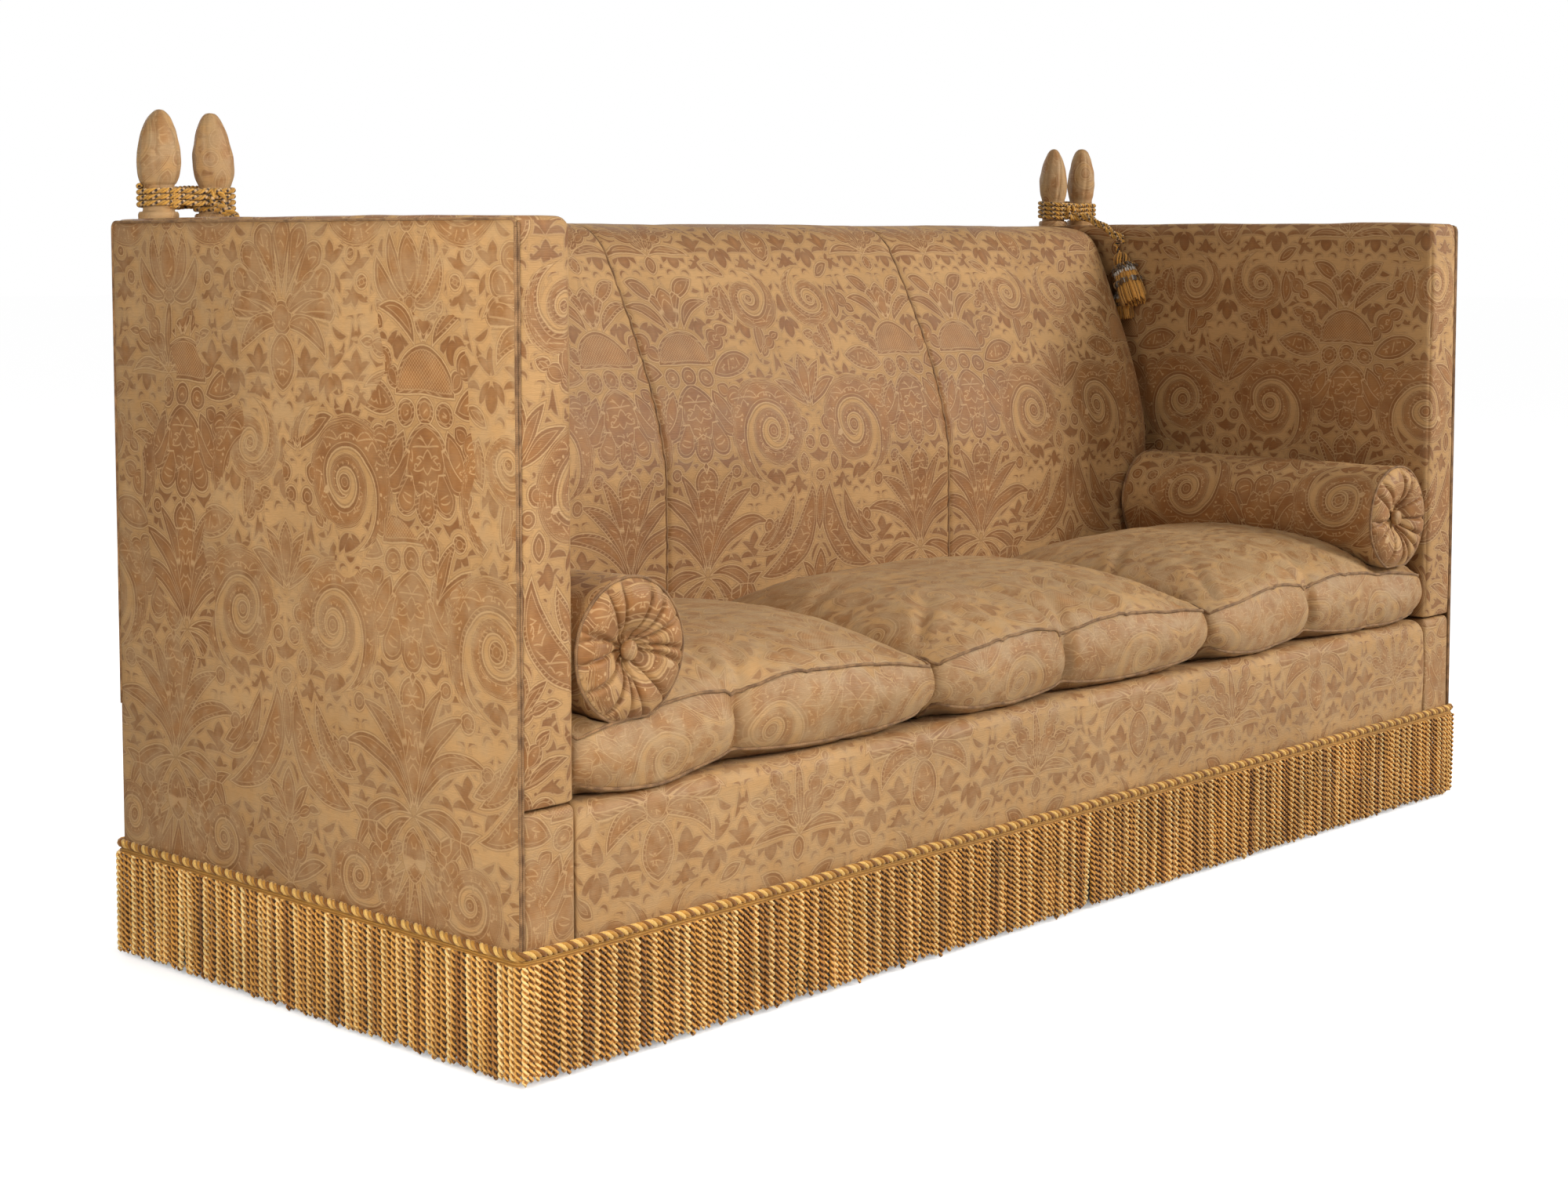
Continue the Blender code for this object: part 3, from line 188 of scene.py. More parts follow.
class Workpiece:
    """Gathers grids of points into one piece, with cloth coordinates in metres and a shade of thread."""

    def __init__(self):
        self.points = []
        self.faces = []
        self.cloth = []
        self.shades = []
        self.count = 0

    def grid(self, points, cloth=None, shade=0.0, around=False):
        """A grid of points. Around joins its last column to its first, and its cloth then has a column more."""
        points = np.asarray(points, float)
        rows, cols = points.shape[:2]
        if cloth is None:
            cloth = np.zeros((rows, cols + 1, 2))
        last = cols if around else cols - 1
        i, j = (part.ravel() for part in np.meshgrid(np.arange(rows - 1), np.arange(last), indexing="ij"))
        k = (j + 1) % cols
        corners = ((i, j), (i, k), (i + 1, k), (i + 1, j))
        self.faces.append(np.stack([self.count + a * cols + b for a, b in corners], axis=1))
        self.cloth.append(np.stack([cloth[i, j], cloth[i, j + 1], cloth[i + 1, j + 1], cloth[i + 1, j]], axis=1))
        self.points.append(points.reshape(-1, 3))
        self.shades.append(np.broadcast_to(shade, (rows, cols)).ravel())
        self.count += rows * cols

    def tube(self, points, radius, sides, shade=0.0, closed=False):
        """A round tube along a path, closed on itself or with closed ends."""
        points = np.asarray(points, float)
        radii = np.broadcast_to(radius, len(points)).astype(float)
        across, over = path_frames(points, closed)
        turns = ring_angles(sides)
        round_about = np.cos(turns)[None, :, None] * across[:, None] + np.sin(turns)[None, :, None] * over[:, None]
        rings = points[:, None] + round_about * radii[:, None, None]
        run = run_lengths(points)
        if closed:
            run = np.append(run, run[-1] + np.linalg.norm(points[0] - points[-1]))
            rings = np.concatenate([rings, rings[:1]])
        else:
            ends = [np.broadcast_to(points[end], (1, sides, 3)) for end in (0, -1)]
            rings = np.concatenate([ends[0], rings, ends[1]])
            run = np.concatenate([run[:1], run, run[-1:]])
        shade = np.resize(shade, (len(rings), 1))
        cloth = np.empty((len(rings), sides + 1, 2))
        cloth[..., 0] = run[:, None]
        cloth[..., 1] = np.arange(sides + 1) / sides
        self.grid(rings, cloth, shade, around=True)

    def sheet(self, outer, inner, cloth):
        """A thin cloth: its two faces and the four edges between them."""
        self.grid(outer, cloth)
        self.grid(inner, cloth)
        for line in (0, -1):
            for edge in ((line,), (slice(None), line)):
                self.grid(np.stack([outer[edge], inner[edge]]), np.stack([cloth[edge], cloth[edge]]))

    def twist(self, points, radius, pitch, shades, sides=6, closed=False, start=0.0):
        """Strands laid round each other along a path, one for each shade.

        A strand whose shade is below 0 is dark and pale by turns.
        """
        points = np.asarray(points, float)
        across, over = path_frames(points, closed)
        run = run_lengths(points)
        if closed:
            whole = run[-1] + np.linalg.norm(points[0] - points[-1])
            carried = math.atan2(np.dot(across[-1], over[0]), np.dot(across[-1], across[0]))
            turns = round(whole / pitch)
            lay = 2 * np.pi * turns * run / whole - carried * run / whole
        else:
            lay = 2 * np.pi * run / pitch
        count = len(shades)
        half = math.sin(math.pi / count)
        offset = np.broadcast_to(radius, len(points)) / (1 + half)
        for k, shade in enumerate(shades):
            if shade < 0:
                shade = dark_and_pale
            angle = (lay + start + 2 * np.pi * k / count)[:, None]
            centres = points + offset[:, None] * (np.cos(angle) * across + np.sin(angle) * over)
            self.tube(centres, offset * half * strand_fullness, sides, shade, closed)

    def make(self, name, look, mirror=False):
        """Makes the piece, welded where its grids meet, with its faces outward."""
        points = np.concatenate(self.points)
        faces = np.concatenate(self.faces)
        cloth = np.concatenate(self.cloth).reshape(-1, 2)
        shades = np.concatenate(self.shades)
        if mirror:
            points = points * (-1, 1, 1)
        mesh = bpy.data.meshes.new(name)
        mesh.vertices.add(len(points))
        mesh.vertices.foreach_set("co", points.astype(np.float32).ravel())
        mesh.loops.add(faces.size)
        mesh.loops.foreach_set("vertex_index", faces.astype(np.int32).ravel())
        mesh.polygons.add(len(faces))
        mesh.polygons.foreach_set("loop_start", np.arange(0, faces.size, 4, dtype=np.int32))
        mesh.uv_layers.new(name="cloth").data.foreach_set("uv", cloth.astype(np.float32).ravel())
        mesh.attributes.new("shade", "FLOAT", "POINT").data.foreach_set("value", shades.astype(np.float32))
        mesh.update(calc_edges=True)
        work = bmesh.new()
        work.from_mesh(mesh)
        bmesh.ops.remove_doubles(work, verts=work.verts, dist=weld_distance)
        bmesh.ops.recalc_face_normals(work, faces=work.faces)
        work.to_mesh(mesh)
        work.free()
        mesh.shade_smooth()
        made = bpy.data.objects.new(name, mesh)
        mesh.materials.append(look)
        bpy.context.scene.collection.objects.link(made)
        return made


def settle(piece, body, slot, *nodes, fill=None):
    """Puts a finished piece on its body, in place of its plain solids."""
    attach(piece, body)
    if nodes:
        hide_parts(*nodes)
    return piece


# Shader work

class Reading:
    """A number worked out by Math nodes, written as arithmetic."""

    def __init__(self, tree, socket):
        self.tree = tree
        self.socket = socket

    def __add__(self, other):
        return calc(self.tree, "ADD", self, other)

    __radd__ = __add__

    def __sub__(self, other):
        return calc(self.tree, "SUBTRACT", self, other)

    def __rsub__(self, other):
        return calc(self.tree, "SUBTRACT", other, self)

    def __mul__(self, other):
        return calc(self.tree, "MULTIPLY", self, other)

    __rmul__ = __mul__

    def __truediv__(self, other):
        return calc(self.tree, "DIVIDE", self, other)

    def __abs__(self):
        return calc(self.tree, "ABSOLUTE", self)


def calc(tree, operation, *values, clamp=False):
    node = tree.nodes.new("ShaderNodeMath")
    node.operation = operation
    node.use_clamp = clamp
    for socket, value in zip(node.inputs, values):
        if isinstance(value, Reading):
            tree.links.new(value.socket, socket)
        else:
            socket.default_value = value
    return Reading(tree, node.outputs[0])


def ramp_up(value, start, end):
    """0 before start, 1 after end, and between them a straight slope."""
    slope = 1 / (end - start)
    return calc(value.tree, "MULTIPLY_ADD", value, slope, -start * slope, clamp=True)


def least(*values):
    found = values[0]
    for value in values[1:]:
        found = calc(found.tree, "MINIMUM", found, value)
    return found


def most(*values):
    found = values[0]
    for value in values[1:]:
        found = calc(found.tree, "MAXIMUM", found, value)
    return found


def mixed(tree, share, first, second, blend="MIX"):
    """One colour laid over another by a share."""
    node = tree.nodes.new("ShaderNodeMix")
    node.data_type = "RGBA"
    node.blend_type = blend
    sockets = (node.inputs[0], node.inputs[6], node.inputs[7])
    for socket, value in zip(sockets, (share, first, second)):
        if isinstance(value, Reading):
            tree.links.new(value.socket, socket)
        elif isinstance(value, (int, float)):
            socket.default_value = value
        elif isinstance(value, tuple):
            socket.default_value = (*value, 1.0)
        else:
            tree.links.new(value, socket)
    return node.outputs[2]


def noise_reading(tree, vector, scale, detail, stretch=None):
    """Soft noise from 0 to 1 at a place, drawn out along an axis where stretch says so."""
    if stretch is not None:
        spread = tree.nodes.new("ShaderNodeVectorMath")
        spread.operation = "MULTIPLY"
        tree.links.new(vector, spread.inputs[0])
        spread.inputs[1].default_value = stretch
        vector = spread.outputs[0]
    node = tree.nodes.new("ShaderNodeTexNoise")
    node.inputs["Scale"].default_value = scale
    node.inputs["Detail"].default_value = detail
    tree.links.new(vector, node.inputs["Vector"])
    return Reading(tree, node.outputs["Fac"])


def split_vector(tree, vector):
    node = tree.nodes.new("ShaderNodeSeparateXYZ")
    tree.links.new(vector, node.inputs[0])
    return [Reading(tree, node.outputs[i]) for i in range(3)]


def new_group(name, inputs, outputs):
    """A shader node group with named sockets: its tree, its input node's sockets and its output node."""
    tree = bpy.data.node_groups.new(name, "ShaderNodeTree")
    for label, kind, value in inputs:
        socket = tree.interface.new_socket(name=label, in_out="INPUT", socket_type="NodeSocket" + kind)
        if value is not None:
            socket.default_value = value
    for label, kind in outputs:
        tree.interface.new_socket(name=label, in_out="OUTPUT", socket_type="NodeSocket" + kind)
    entry = tree.nodes.new("NodeGroupInput")
    leave = tree.nodes.new("NodeGroupOutput")
    return tree, entry.outputs, leave


def new_look(name, roughness, metallic=0.0, sheen=0.0, sheen_tint=(1.0, 1.0, 1.0)):
    """A material with its plain numbers set on the shader's own sockets."""
    look = bpy.data.materials.new(name)
    look.use_nodes = True
    tree = look.node_tree
    shader = tree.nodes["Principled BSDF"]
    shader.inputs["Roughness"].default_value = roughness
    shader.inputs["Metallic"].default_value = metallic
    shader.inputs["Sheen Weight"].default_value = sheen
    shader.inputs["Sheen Roughness"].default_value = 0.45
    shader.inputs["Sheen Tint"].default_value = (*sheen_tint, 1.0)
    shader.inputs["Specular IOR Level"].default_value = 0.35
    return look, tree, shader


def object_place(tree):
    return tree.nodes.new("ShaderNodeTexCoord").outputs["Object"]


def cloth_place(tree):
    node = tree.nodes.new("ShaderNodeUVMap")
    node.uv_map = "cloth"
    return node.outputs[0]


def thread_shade(tree):
    node = tree.nodes.new("ShaderNodeAttribute")
    node.attribute_name = "shade"
    return Reading(tree, node.outputs["Fac"])


def raise_surface(tree, shader, height, distance, strength):
    """Bump from a height of 0 to 1 over a distance in metres."""
    bump = tree.nodes.new("ShaderNodeBump")
    bump.inputs["Strength"].default_value = strength
    bump.inputs["Distance"].default_value = distance
    tree.links.new(height.socket, bump.inputs["Height"])
    tree.links.new(bump.outputs[0], shader.inputs["Normal"])


# The damask's drawing: every shape is a reading that is below 0 inside it, in metres

repeat_half_width = 0.267
repeat_height = 0.9
weave_drift = 0.016


def add_group(tree, group, **readings):
    """A group placed in a material, with the surface's places joined to its inputs."""
    made = tree.nodes.new("ShaderNodeGroup")
    made.node_tree = group
    for label, socket in readings.items():
        tree.links.new(socket, made.inputs[label])
    return made


def joined_place(tree, x, y):
    node = tree.nodes.new("ShaderNodeCombineXYZ")
    tree.links.new(x.socket, node.inputs[0])
    tree.links.new(y.socket, node.inputs[1])
    return Reading(tree, node.outputs[0])


def spot(place, x, y, radius):
    """A round spot; below 0 inside it."""
    node = place.tree.nodes.new("ShaderNodeVectorMath")
    node.operation = "DISTANCE"
    place.tree.links.new(place.socket, node.inputs[0])
    node.inputs[1].default_value = (x, y, 0.0)
    return Reading(place.tree, node.outputs["Value"]) - radius


def arc_side(place, start, end, bow, side):
    """Below 0 inside the arc through two tips; side is 1 for a leaf's left edge and -1 for its right."""
    chord = math.dist(start, end)
    bow = bow or 0.0005
    hand = math.copysign(1, bow)
    radius = (chord ** 2 / 4 + bow ** 2) / (2 * abs(bow))
    shift = (bow - hand * radius) / chord
    centre_x = (start[0] + end[0]) / 2 - (end[1] - start[1]) * shift
    centre_y = (start[1] + end[1]) / 2 + (end[0] - start[0]) * shift
    reading = spot(place, centre_x, centre_y, radius)
    return reading if hand == side else reading * -1.0


def leaf(place, start_x, start_y, end_x, end_y, left, right, lobes=0):
    """A leaf between two arcs that meet at its tips, plain or with a scalloped edge."""
    start, end = (start_x, start_y), (end_x, end_y)
    fuller = 0.13 * (left - right)
    left, right = left + fuller, right - fuller
    body = most(arc_side(place, start, end, left, 1), arc_side(place, start, end, right, -1))
    if not lobes:
        return body
    tree = place.tree
    node = tree.nodes.new("ShaderNodeVectorMath")
    node.operation = "DOT_PRODUCT"
    chord = math.dist(start, end)
    along = ((end_x - start_x) / chord ** 2, (end_y - start_y) / chord ** 2)
    tree.links.new(place.socket, node.inputs[0])
    node.inputs[1].default_value = (*along, 0.0)
    share = Reading(tree, node.outputs["Value"]) - (start_x * along[0] + start_y * along[1])
    notch = abs(calc(tree, "SINE", share * (math.pi * lobes)))
    return body + (1.0 - calc(tree, "SQRT", notch)) * (0.28 * (left - right))


def fan(x, y, centre_x, centre_y, petals, spread, inner, outer, width, droop):
    """A fan of an odd number of round-ended petals, longest in its middle; it hangs where outer is below 0."""
    tree = x.tree
    hand = math.copysign(1, outer)
    dx, dy = x - centre_x, (y - centre_y) * hand
    reach = calc(tree, "SQRT", calc(tree, "MULTIPLY_ADD", dx, dx, dy * dy))
    angle = calc(tree, "ARCTAN2", dx, dy)
    step = spread / petals
    offset = (calc(tree, "FRACT", angle / step + 0.5) - 0.5) * step
    centre = angle - offset
    end = calc(tree, "MULTIPLY_ADD", centre * centre, -abs(outer) * droop / (spread / 2) ** 2, abs(outer) - width / 2)
    across = abs(offset * reach)
    past = calc(tree, "MAXIMUM", reach - end, 0.0)
    share = calc(tree, "DIVIDE", reach - inner, end - inner, clamp=True)
    body = calc(tree, "SQRT", calc(tree, "MULTIPLY_ADD", past, past, across * across)) - share * (width / 2)
    return most(body, inner - reach, (abs(angle) - spread / 2) * 0.05)


def scroll(x, y, centre_x, centre_y, radius, hand, start, width, turns, decay, lobes, depth):
    """A leafy spiral that winds in to its centre, lobed on its outer side, and the beads along its middle."""
    tree = x.tree
    dx, dy = (x - centre_x) * hand, y - centre_y
    reach = calc(tree, "SQRT", calc(tree, "MULTIPLY_ADD", dx, dx, dy * dy))
    rate = math.log(decay)
    angle = calc(tree, "ARCTAN2", dy, dx) / (2 * math.pi)
    wound = calc(tree, "LOGARITHM", calc(tree, "MAXIMUM", reach / radius, 0.001), math.e) / rate
    phase = wound - angle + start
    near = calc(tree, "FRACT", phase + 0.5) - 0.5
    along = wound - near
    shrink = calc(tree, "POWER", decay, along)
    taper = calc(tree, "MINIMUM", least(along * 3.5, (turns - along) * 4.0), 1.0)
    wave = abs(calc(tree, "SINE", calc(tree, "MULTIPLY_ADD", near, 2.2, along) * (math.pi * lobes)))
    full = calc(tree, "MULTIPLY_ADD", calc(tree, "SQRT", wave) * ramp_up(near, 0.01, -0.03), depth, 0.5)
    across = near * reach * rate
    bead = calc(tree, "FRACT", along * 14.0) - 0.5
    bead_step = 2 * math.pi * radius / 18.0
    beads = calc(tree, "SQRT", calc(tree, "MULTIPLY_ADD", bead * bead, bead_step ** 2, across * across))
    band = abs(across) - shrink * taper * full * (width / 2)
    return band, most(beads - 0.0022, band + 0.003)


def small_foliage(tree, u, v):
    """A small mirrored tile of leaves, curls and berries, which fills the open ground."""
    wide, tall = 0.043, 0.106
    x = calc(tree, "PINGPONG", u, wide)
    y = calc(tree, "WRAP", v, tall, 0.0)
    place = joined_place(tree, x, y)
    rows = (
        (0.0, 0.036, 0.0, 0.072, 0.008, -0.008), (0.001, 0.038, 0.024, 0.058, 0.009, 0.001),
        (0.001, 0.036, 0.026, 0.034, 0.009, 0.002), (0.0, 0.034, 0.0, 0.006, 0.006, -0.006),
        (0.001, 0.03, 0.022, 0.012, -0.001, -0.008), (0.043, 0.04, 0.043, 0.012, 0.008, -0.008),
        (0.042, 0.044, 0.024, 0.02, 0.002, -0.007), (0.042, 0.048, 0.02, 0.066, 0.001, -0.008),
        (0.043, 0.05, 0.043, 0.078, 0.006, -0.006), (0.04, 0.096, 0.016, 0.084, 0.008, 0.001),
        (0.014, 0.07, 0.006, 0.098, 0.007, 0.001),
        (0.031, 0.07, 0.022, 0.08, 0.007, 0.003), (0.008, 0.014, 0.017, 0.024, 0.008, 0.004),
        (0.026, 0.0, 0.037, 0.006, 0.008, 0.004), (0.0, 0.076, 0.0, 0.09, 0.005, -0.005),
        (0.034, 0.056, 0.027, 0.063, 0.001, -0.005), (0.003, 0.1, 0.014, 0.104, 0.006, 0.002),
    )
    spots = ((0.022, 0.069, 0.003), (0.018, 0.016, 0.0028))
    return least(*(leaf(place, *row) for row in rows), *(spot(place, *row) for row in spots))


def damask_drawing():
    """The cover's pattern: a mirrored, repeating damask of clubs, plumes, scrolls, seed heads and sprigs."""
    tree, entry, leave = new_group(
        "damask_drawing",
        [("Cloth", "Vector", None)],
        [("Figure", "Float"), ("Light edge", "Float"), ("Dark edge", "Float"), ("Inner shade", "Float")],
    )
    u, v, _ = split_vector(tree, entry["Cloth"])
    u = u + (noise_reading(tree, entry["Cloth"], 8.0, 1.0) - 0.5) * weave_drift
    v = v + (noise_reading(tree, entry["Cloth"], 11.0, 1.0, stretch=(-1.0, 1.0, 1.0)) - 0.5) * weave_drift
    x = calc(tree, "PINGPONG", u, repeat_half_width)
    w = repeat_half_width
    # Shapes near the repeat's edge are drawn half a repeat lower, so that none of them crosses it
    high = calc(tree, "WRAP", v, repeat_height, 0.0)
    low = calc(tree, "WRAP", v + repeat_height / 2, repeat_height, 0.0)
    upper, lower = joined_place(tree, x, high), joined_place(tree, x, low)
    great, great_beads = scroll(x, high, 0.166, 0.516, 0.09, -1, 0.8, 0.074, 2.0, 0.44, 9, 0.9)
    second, second_beads = scroll(x, low, 0.112, 0.64, 0.07, 1, 0.42, 0.058, 1.9, 0.42, 8, 0.9)
    third, _ = scroll(x, low, 0.19, 0.3, 0.058, -1, 0.3, 0.049, 1.8, 0.4, 7, 0.9)
    upper_leaves = (
        # The club and its plumes, and the arches that hang below them
        (0.0, 0.3, 0.0, 0.474, 0.023, -0.023), (0.003, 0.302, 0.064, 0.462, 0.03, 0.006),
        (0.005, 0.298, 0.108, 0.424, 0.04, 0.016), (0.006, 0.293, 0.146, 0.366, 0.044, 0.022),
        (0.006, 0.288, 0.118, 0.212, 0.044, 0.024), (0.004, 0.284, 0.07, 0.168, 0.034, 0.014),
        (0.0, 0.272, 0.0, 0.196, 0.018, -0.018),
        # The seed head and the leaves round it
        (0.0, 0.606, 0.0, 0.5, 0.034, -0.034), (0.05, 0.64, 0.126, 0.706, 0.024, -0.008, 3),
        (0.056, 0.622, 0.15, 0.64, 0.02, -0.014), (0.052, 0.606, 0.128, 0.56, 0.012, -0.022, 3),
        (0.042, 0.596, 0.084, 0.52, 0.01, -0.018), (0.0, 0.705, 0.0, 0.776, 0.018, -0.018),
        (0.004, 0.704, 0.046, 0.77, 0.02, 0.002), (0.018, 0.7, 0.094, 0.748, 0.024, 0.006),
        # Crescents under the great scroll, and the vase on the second axis
        (0.246, 0.424, 0.128, 0.276, 0.062, 0.022), (0.206, 0.41, 0.126, 0.318, 0.03, 0.006),
        (0.17, 0.372, 0.116, 0.33, 0.016, -0.002), (w, 0.424, w, 0.34, 0.01, -0.01),
        (w, 0.236, w, 0.312, 0.013, -0.013), (0.264, 0.238, 0.222, 0.292, 0.002, -0.014),
        (0.264, 0.234, 0.196, 0.258, -0.004, -0.018, 3), (0.232, 0.478, 0.232, 0.44, 0.009, -0.009),
        (w, 0.56, w, 0.65, 0.014, -0.014), (0.264, 0.562, 0.222, 0.636, 0.004, -0.016),
        (0.262, 0.556, 0.19, 0.604, 0.002, -0.018), (0.18, 0.64, 0.24, 0.69, 0.018, -0.004, 3),
        (0.176, 0.648, 0.186, 0.716, 0.004, -0.016),
    )
    lower_leaves = (
        # The tulip on the first axis
        (0.0, 0.5, 0.0, 0.584, 0.018, -0.018), (0.002, 0.498, 0.038, 0.586, 0.0, -0.022),
        (0.003, 0.492, 0.066, 0.552, -0.006, -0.03), (0.0, 0.395, 0.0, 0.492, 0.007, -0.007),
        (0.001, 0.398, 0.07, 0.5, 0.016, -0.01, 5), (0.002, 0.394, 0.104, 0.446, 0.022, 0.002, 4),
        (0.002, 0.388, 0.09, 0.386, 0.02, 0.006), (0.0, 0.386, 0.0, 0.35, 0.01, -0.01),
        # The palmette on the second axis and the leaves round it
        (w, 0.452, w, 0.372, 0.022, -0.022), (0.262, 0.458, 0.172, 0.42, -0.01, -0.034),
        (0.263, 0.466, 0.146, 0.478, -0.018, -0.04), (0.262, 0.474, 0.158, 0.536, -0.006, -0.026, 4),
        (w, 0.61, w, 0.69, 0.016, -0.016), (0.264, 0.612, 0.214, 0.682, 0.004, -0.018, 3),
        (0.262, 0.606, 0.186, 0.64, 0.0, -0.018), (0.06, 0.66, 0.13, 0.735, 0.026, 0.006),
        (0.058, 0.64, 0.02, 0.7, 0.004, -0.018, 3), (0.13, 0.33, 0.08, 0.27, 0.018, -0.006, 3),
        (0.134, 0.33, 0.14, 0.262, 0.006, -0.016), (0.15, 0.345, 0.112, 0.368, 0.006, -0.01),
        (0.022, 0.3, 0.074, 0.34, 0.016, -0.006),
    )
    spots = [spot(upper, *row) for row in (
        (0.0, 0.44, 0.026), (0.066, 0.456, 0.012), (0.11, 0.42, 0.013), (0.146, 0.36, 0.013),
        (0.0, 0.228, 0.022), (0.0, 0.618, 0.017), (0.037, 0.616, 0.017), (0.236, 0.524, 0.015),
        (0.214, 0.5, 0.013), (0.25, 0.494, 0.012), (w, 0.436, 0.012), (0.19, 0.345, 0.01),
        (0.204, 0.318, 0.008), (0.224, 0.33, 0.007), (0.166, 0.516, 0.013),
    )]
    spots += [spot(lower, *row) for row in (
        (0.112, 0.64, 0.01), (0.19, 0.3, 0.008), (0.0, 0.494, 0.014), (w, 0.47, 0.024),
        (0.094, 0.52, 0.01), (0.118, 0.556, 0.008),
    )]
    dome = most(spot(upper, 0.0, 0.642, 0.058), 0.638 - high)
    shapes = [
        great, second, third, dome, *spots,
        *(leaf(upper, *row) for row in upper_leaves),
        *(leaf(lower, *row) for row in lower_leaves),
        fan(x, high, 0.0, 0.236, 11, 4.0, 0.03, -0.104, 0.034, 0.18),
        fan(x, high, 0.0, 0.6, 5, 1.9, 0.01, -0.13, 0.044, 0.18),
        fan(x, low, w, 0.474, 9, 3.3, 0.026, 0.132, 0.044, 0.15),
    ]
    main, second_best = shapes[0], 1.0
    for one in shapes[1:]:
        second_best = least(calc(tree, "MAXIMUM", main, one), second_best)
        main = least(main, one)
    sprigs = small_foliage(tree, u * 0.8, v * 0.8) * 1.25
    # No sprig grows inside a scroll
    middles = least(spot(upper, 0.166, 0.516, 0.064), spot(lower, 0.112, 0.64, 0.05),
                    spot(lower, 0.19, 0.3, 0.04))
    shape = least(main, most(sprigs, 0.006 - main, middles * -1.0))
    shape = shape + (noise_reading(tree, entry["Cloth"], 230.0, 2.0) - 0.5) * 0.0014
    beads = ramp_up(least(great_beads, second_beads), 0.0006, -0.0006)
    lattice = calc(tree, "SINE", (x + high) * 560.0) * calc(tree, "SINE", (x - high) * 560.0)
    lattice = ramp_up(abs(lattice), 0.35, 0.05) * ramp_up(dome, -0.004, -0.006)
    parting = ramp_up(second_best - main, 0.0018, 0.0006) * ramp_up(main, 0.0, -0.001)
    veins = ramp_up(abs(main + 0.0062), 0.001, 0.0003)
    inner = ramp_up(abs(sprigs + 0.0005), 0.0015, 0.0005) * ramp_up(main, -0.011, -0.0135) * ramp_up(dome, 0.0, 0.002)
    rungs = ramp_up(calc(tree, "SINE", (high + x * 0.35) * 900.0), 0.25, 0.75)
    rungs = rungs * ramp_up(abs(main + 0.0036), 0.0022, 0.0012)
    rungs = rungs * ramp_up(noise_reading(tree, entry["Cloth"], 7.0, 0.0), 0.5, 0.53)
    strength = ramp_up(main, 0.0045, 0.0015) * 0.5 + 0.5
    outs = {
        "Figure": ramp_up(shape, 0.0006, -0.0006),
        "Light edge": most(ramp_up(abs(shape + 0.0004), 0.0014, 0.0004) * strength, parting, beads, lattice * 0.7,
                           veins * 0.7, inner * 0.8, rungs * 0.6),
        "Dark edge": ramp_up(abs(shape - 0.0014), 0.0016, 0.0004) * strength,
        "Inner shade": ramp_up(shape, 0.0, -0.012),
    }
    for label, value in outs.items():
        tree.links.new(value.socket, leave.inputs[label])
    return tree


def calc_grey(tree, value):
    """A number from 0 to 1 as a grey from 0.4 to 1.3."""
    node = tree.nodes.new("ShaderNodeCombineColor")
    lifted = calc(tree, "MULTIPLY_ADD", value, 0.9, 0.4)
    for socket in node.inputs:
        tree.links.new(lifted.socket, socket)
    return node.outputs[0]


def damask_cloth(drawing):
    """The cover cloth's colour, roughness and height, from its drawing, its weave and how rubbed and faded it is; that
    share is also set as painted shade on the front rail and as painted light on the finials.
    """
    tree, entry, leave = new_group(
        "damask_cloth",
        [("Cloth", "Vector", None), ("Place", "Vector", None), ("Wear and painted light", "Float", 0.2)],
        [("Color", "Color"), ("Roughness", "Float"), ("Height", "Float")],
    )
    drawn = add_group(tree, drawing, Cloth=entry["Cloth"])
    figure, light, dark, shade = (Reading(tree, socket) for socket in drawn.outputs)
    wear_and_painted_light = Reading(tree, entry["Wear and painted light"])
    cloud = noise_reading(tree, entry["Place"], 5.5, 4.0)
    mottle = noise_reading(tree, entry["Place"], 24.0, 4.0)
    slub = noise_reading(tree, entry["Cloth"], 90.0, 3.0, stretch=(0.3, 8.0, 1.0))
    thread = noise_reading(tree, entry["Cloth"], 420.0, 1.0, stretch=(0.3, 2.2, 1.0))
    rubbed = ramp_up(noise_reading(tree, entry["Place"], 36.0, 5.0), 0.4, 0.62)
    ground = mixed(tree, ramp_up(cloud, 0.38, 0.62), (0.445, 0.248, 0.094), (0.54, 0.312, 0.127))
    warm = mixed(tree, ramp_up(mottle, 0.36, 0.66), (0.25, 0.098, 0.027), (0.38, 0.163, 0.047))
    deep = mixed(tree, ramp_up(cloud, 0.3, 0.7), (0.165, 0.06, 0.016), (0.235, 0.091, 0.025))
    figure_colour = mixed(tree, shade * 0.75, deep, warm)
    share = figure * (1.0 - wear_and_painted_light * (0.45 + 0.3 * rubbed))
    light, dark = light * (1.0 - wear_and_painted_light * 0.45), dark * (1.0 - wear_and_painted_light * 0.45)
    colour = mixed(tree, share, ground, figure_colour)
    colour = mixed(tree, dark * 0.55, colour, (0.19, 0.09, 0.034))
    colour = mixed(tree, light * (0.42 + 0.4 * mottle), colour, (0.68, 0.445, 0.215))
    grey = mixed(tree, 0.5, (0.38, 0.262, 0.144), (0.51, 0.362, 0.2))
    colour = mixed(tree, wear_and_painted_light * (rubbed * 0.65 + 0.1), colour, grey)
    weave = ramp_up(slub * 0.6 + thread * 0.4, 0.3, 0.72)
    shaded = mixed(tree, 0.22, colour, calc_grey(tree, weave), "MULTIPLY")
    tree.links.new(shaded, leave.inputs["Color"])
    rough = calc(tree, "MULTIPLY_ADD", figure, -0.14, 0.64) + (mottle - 0.5) * 0.15
    tree.links.new(rough.socket, leave.inputs["Roughness"])
    tree.links.new(weave.socket, leave.inputs["Height"])
    return tree


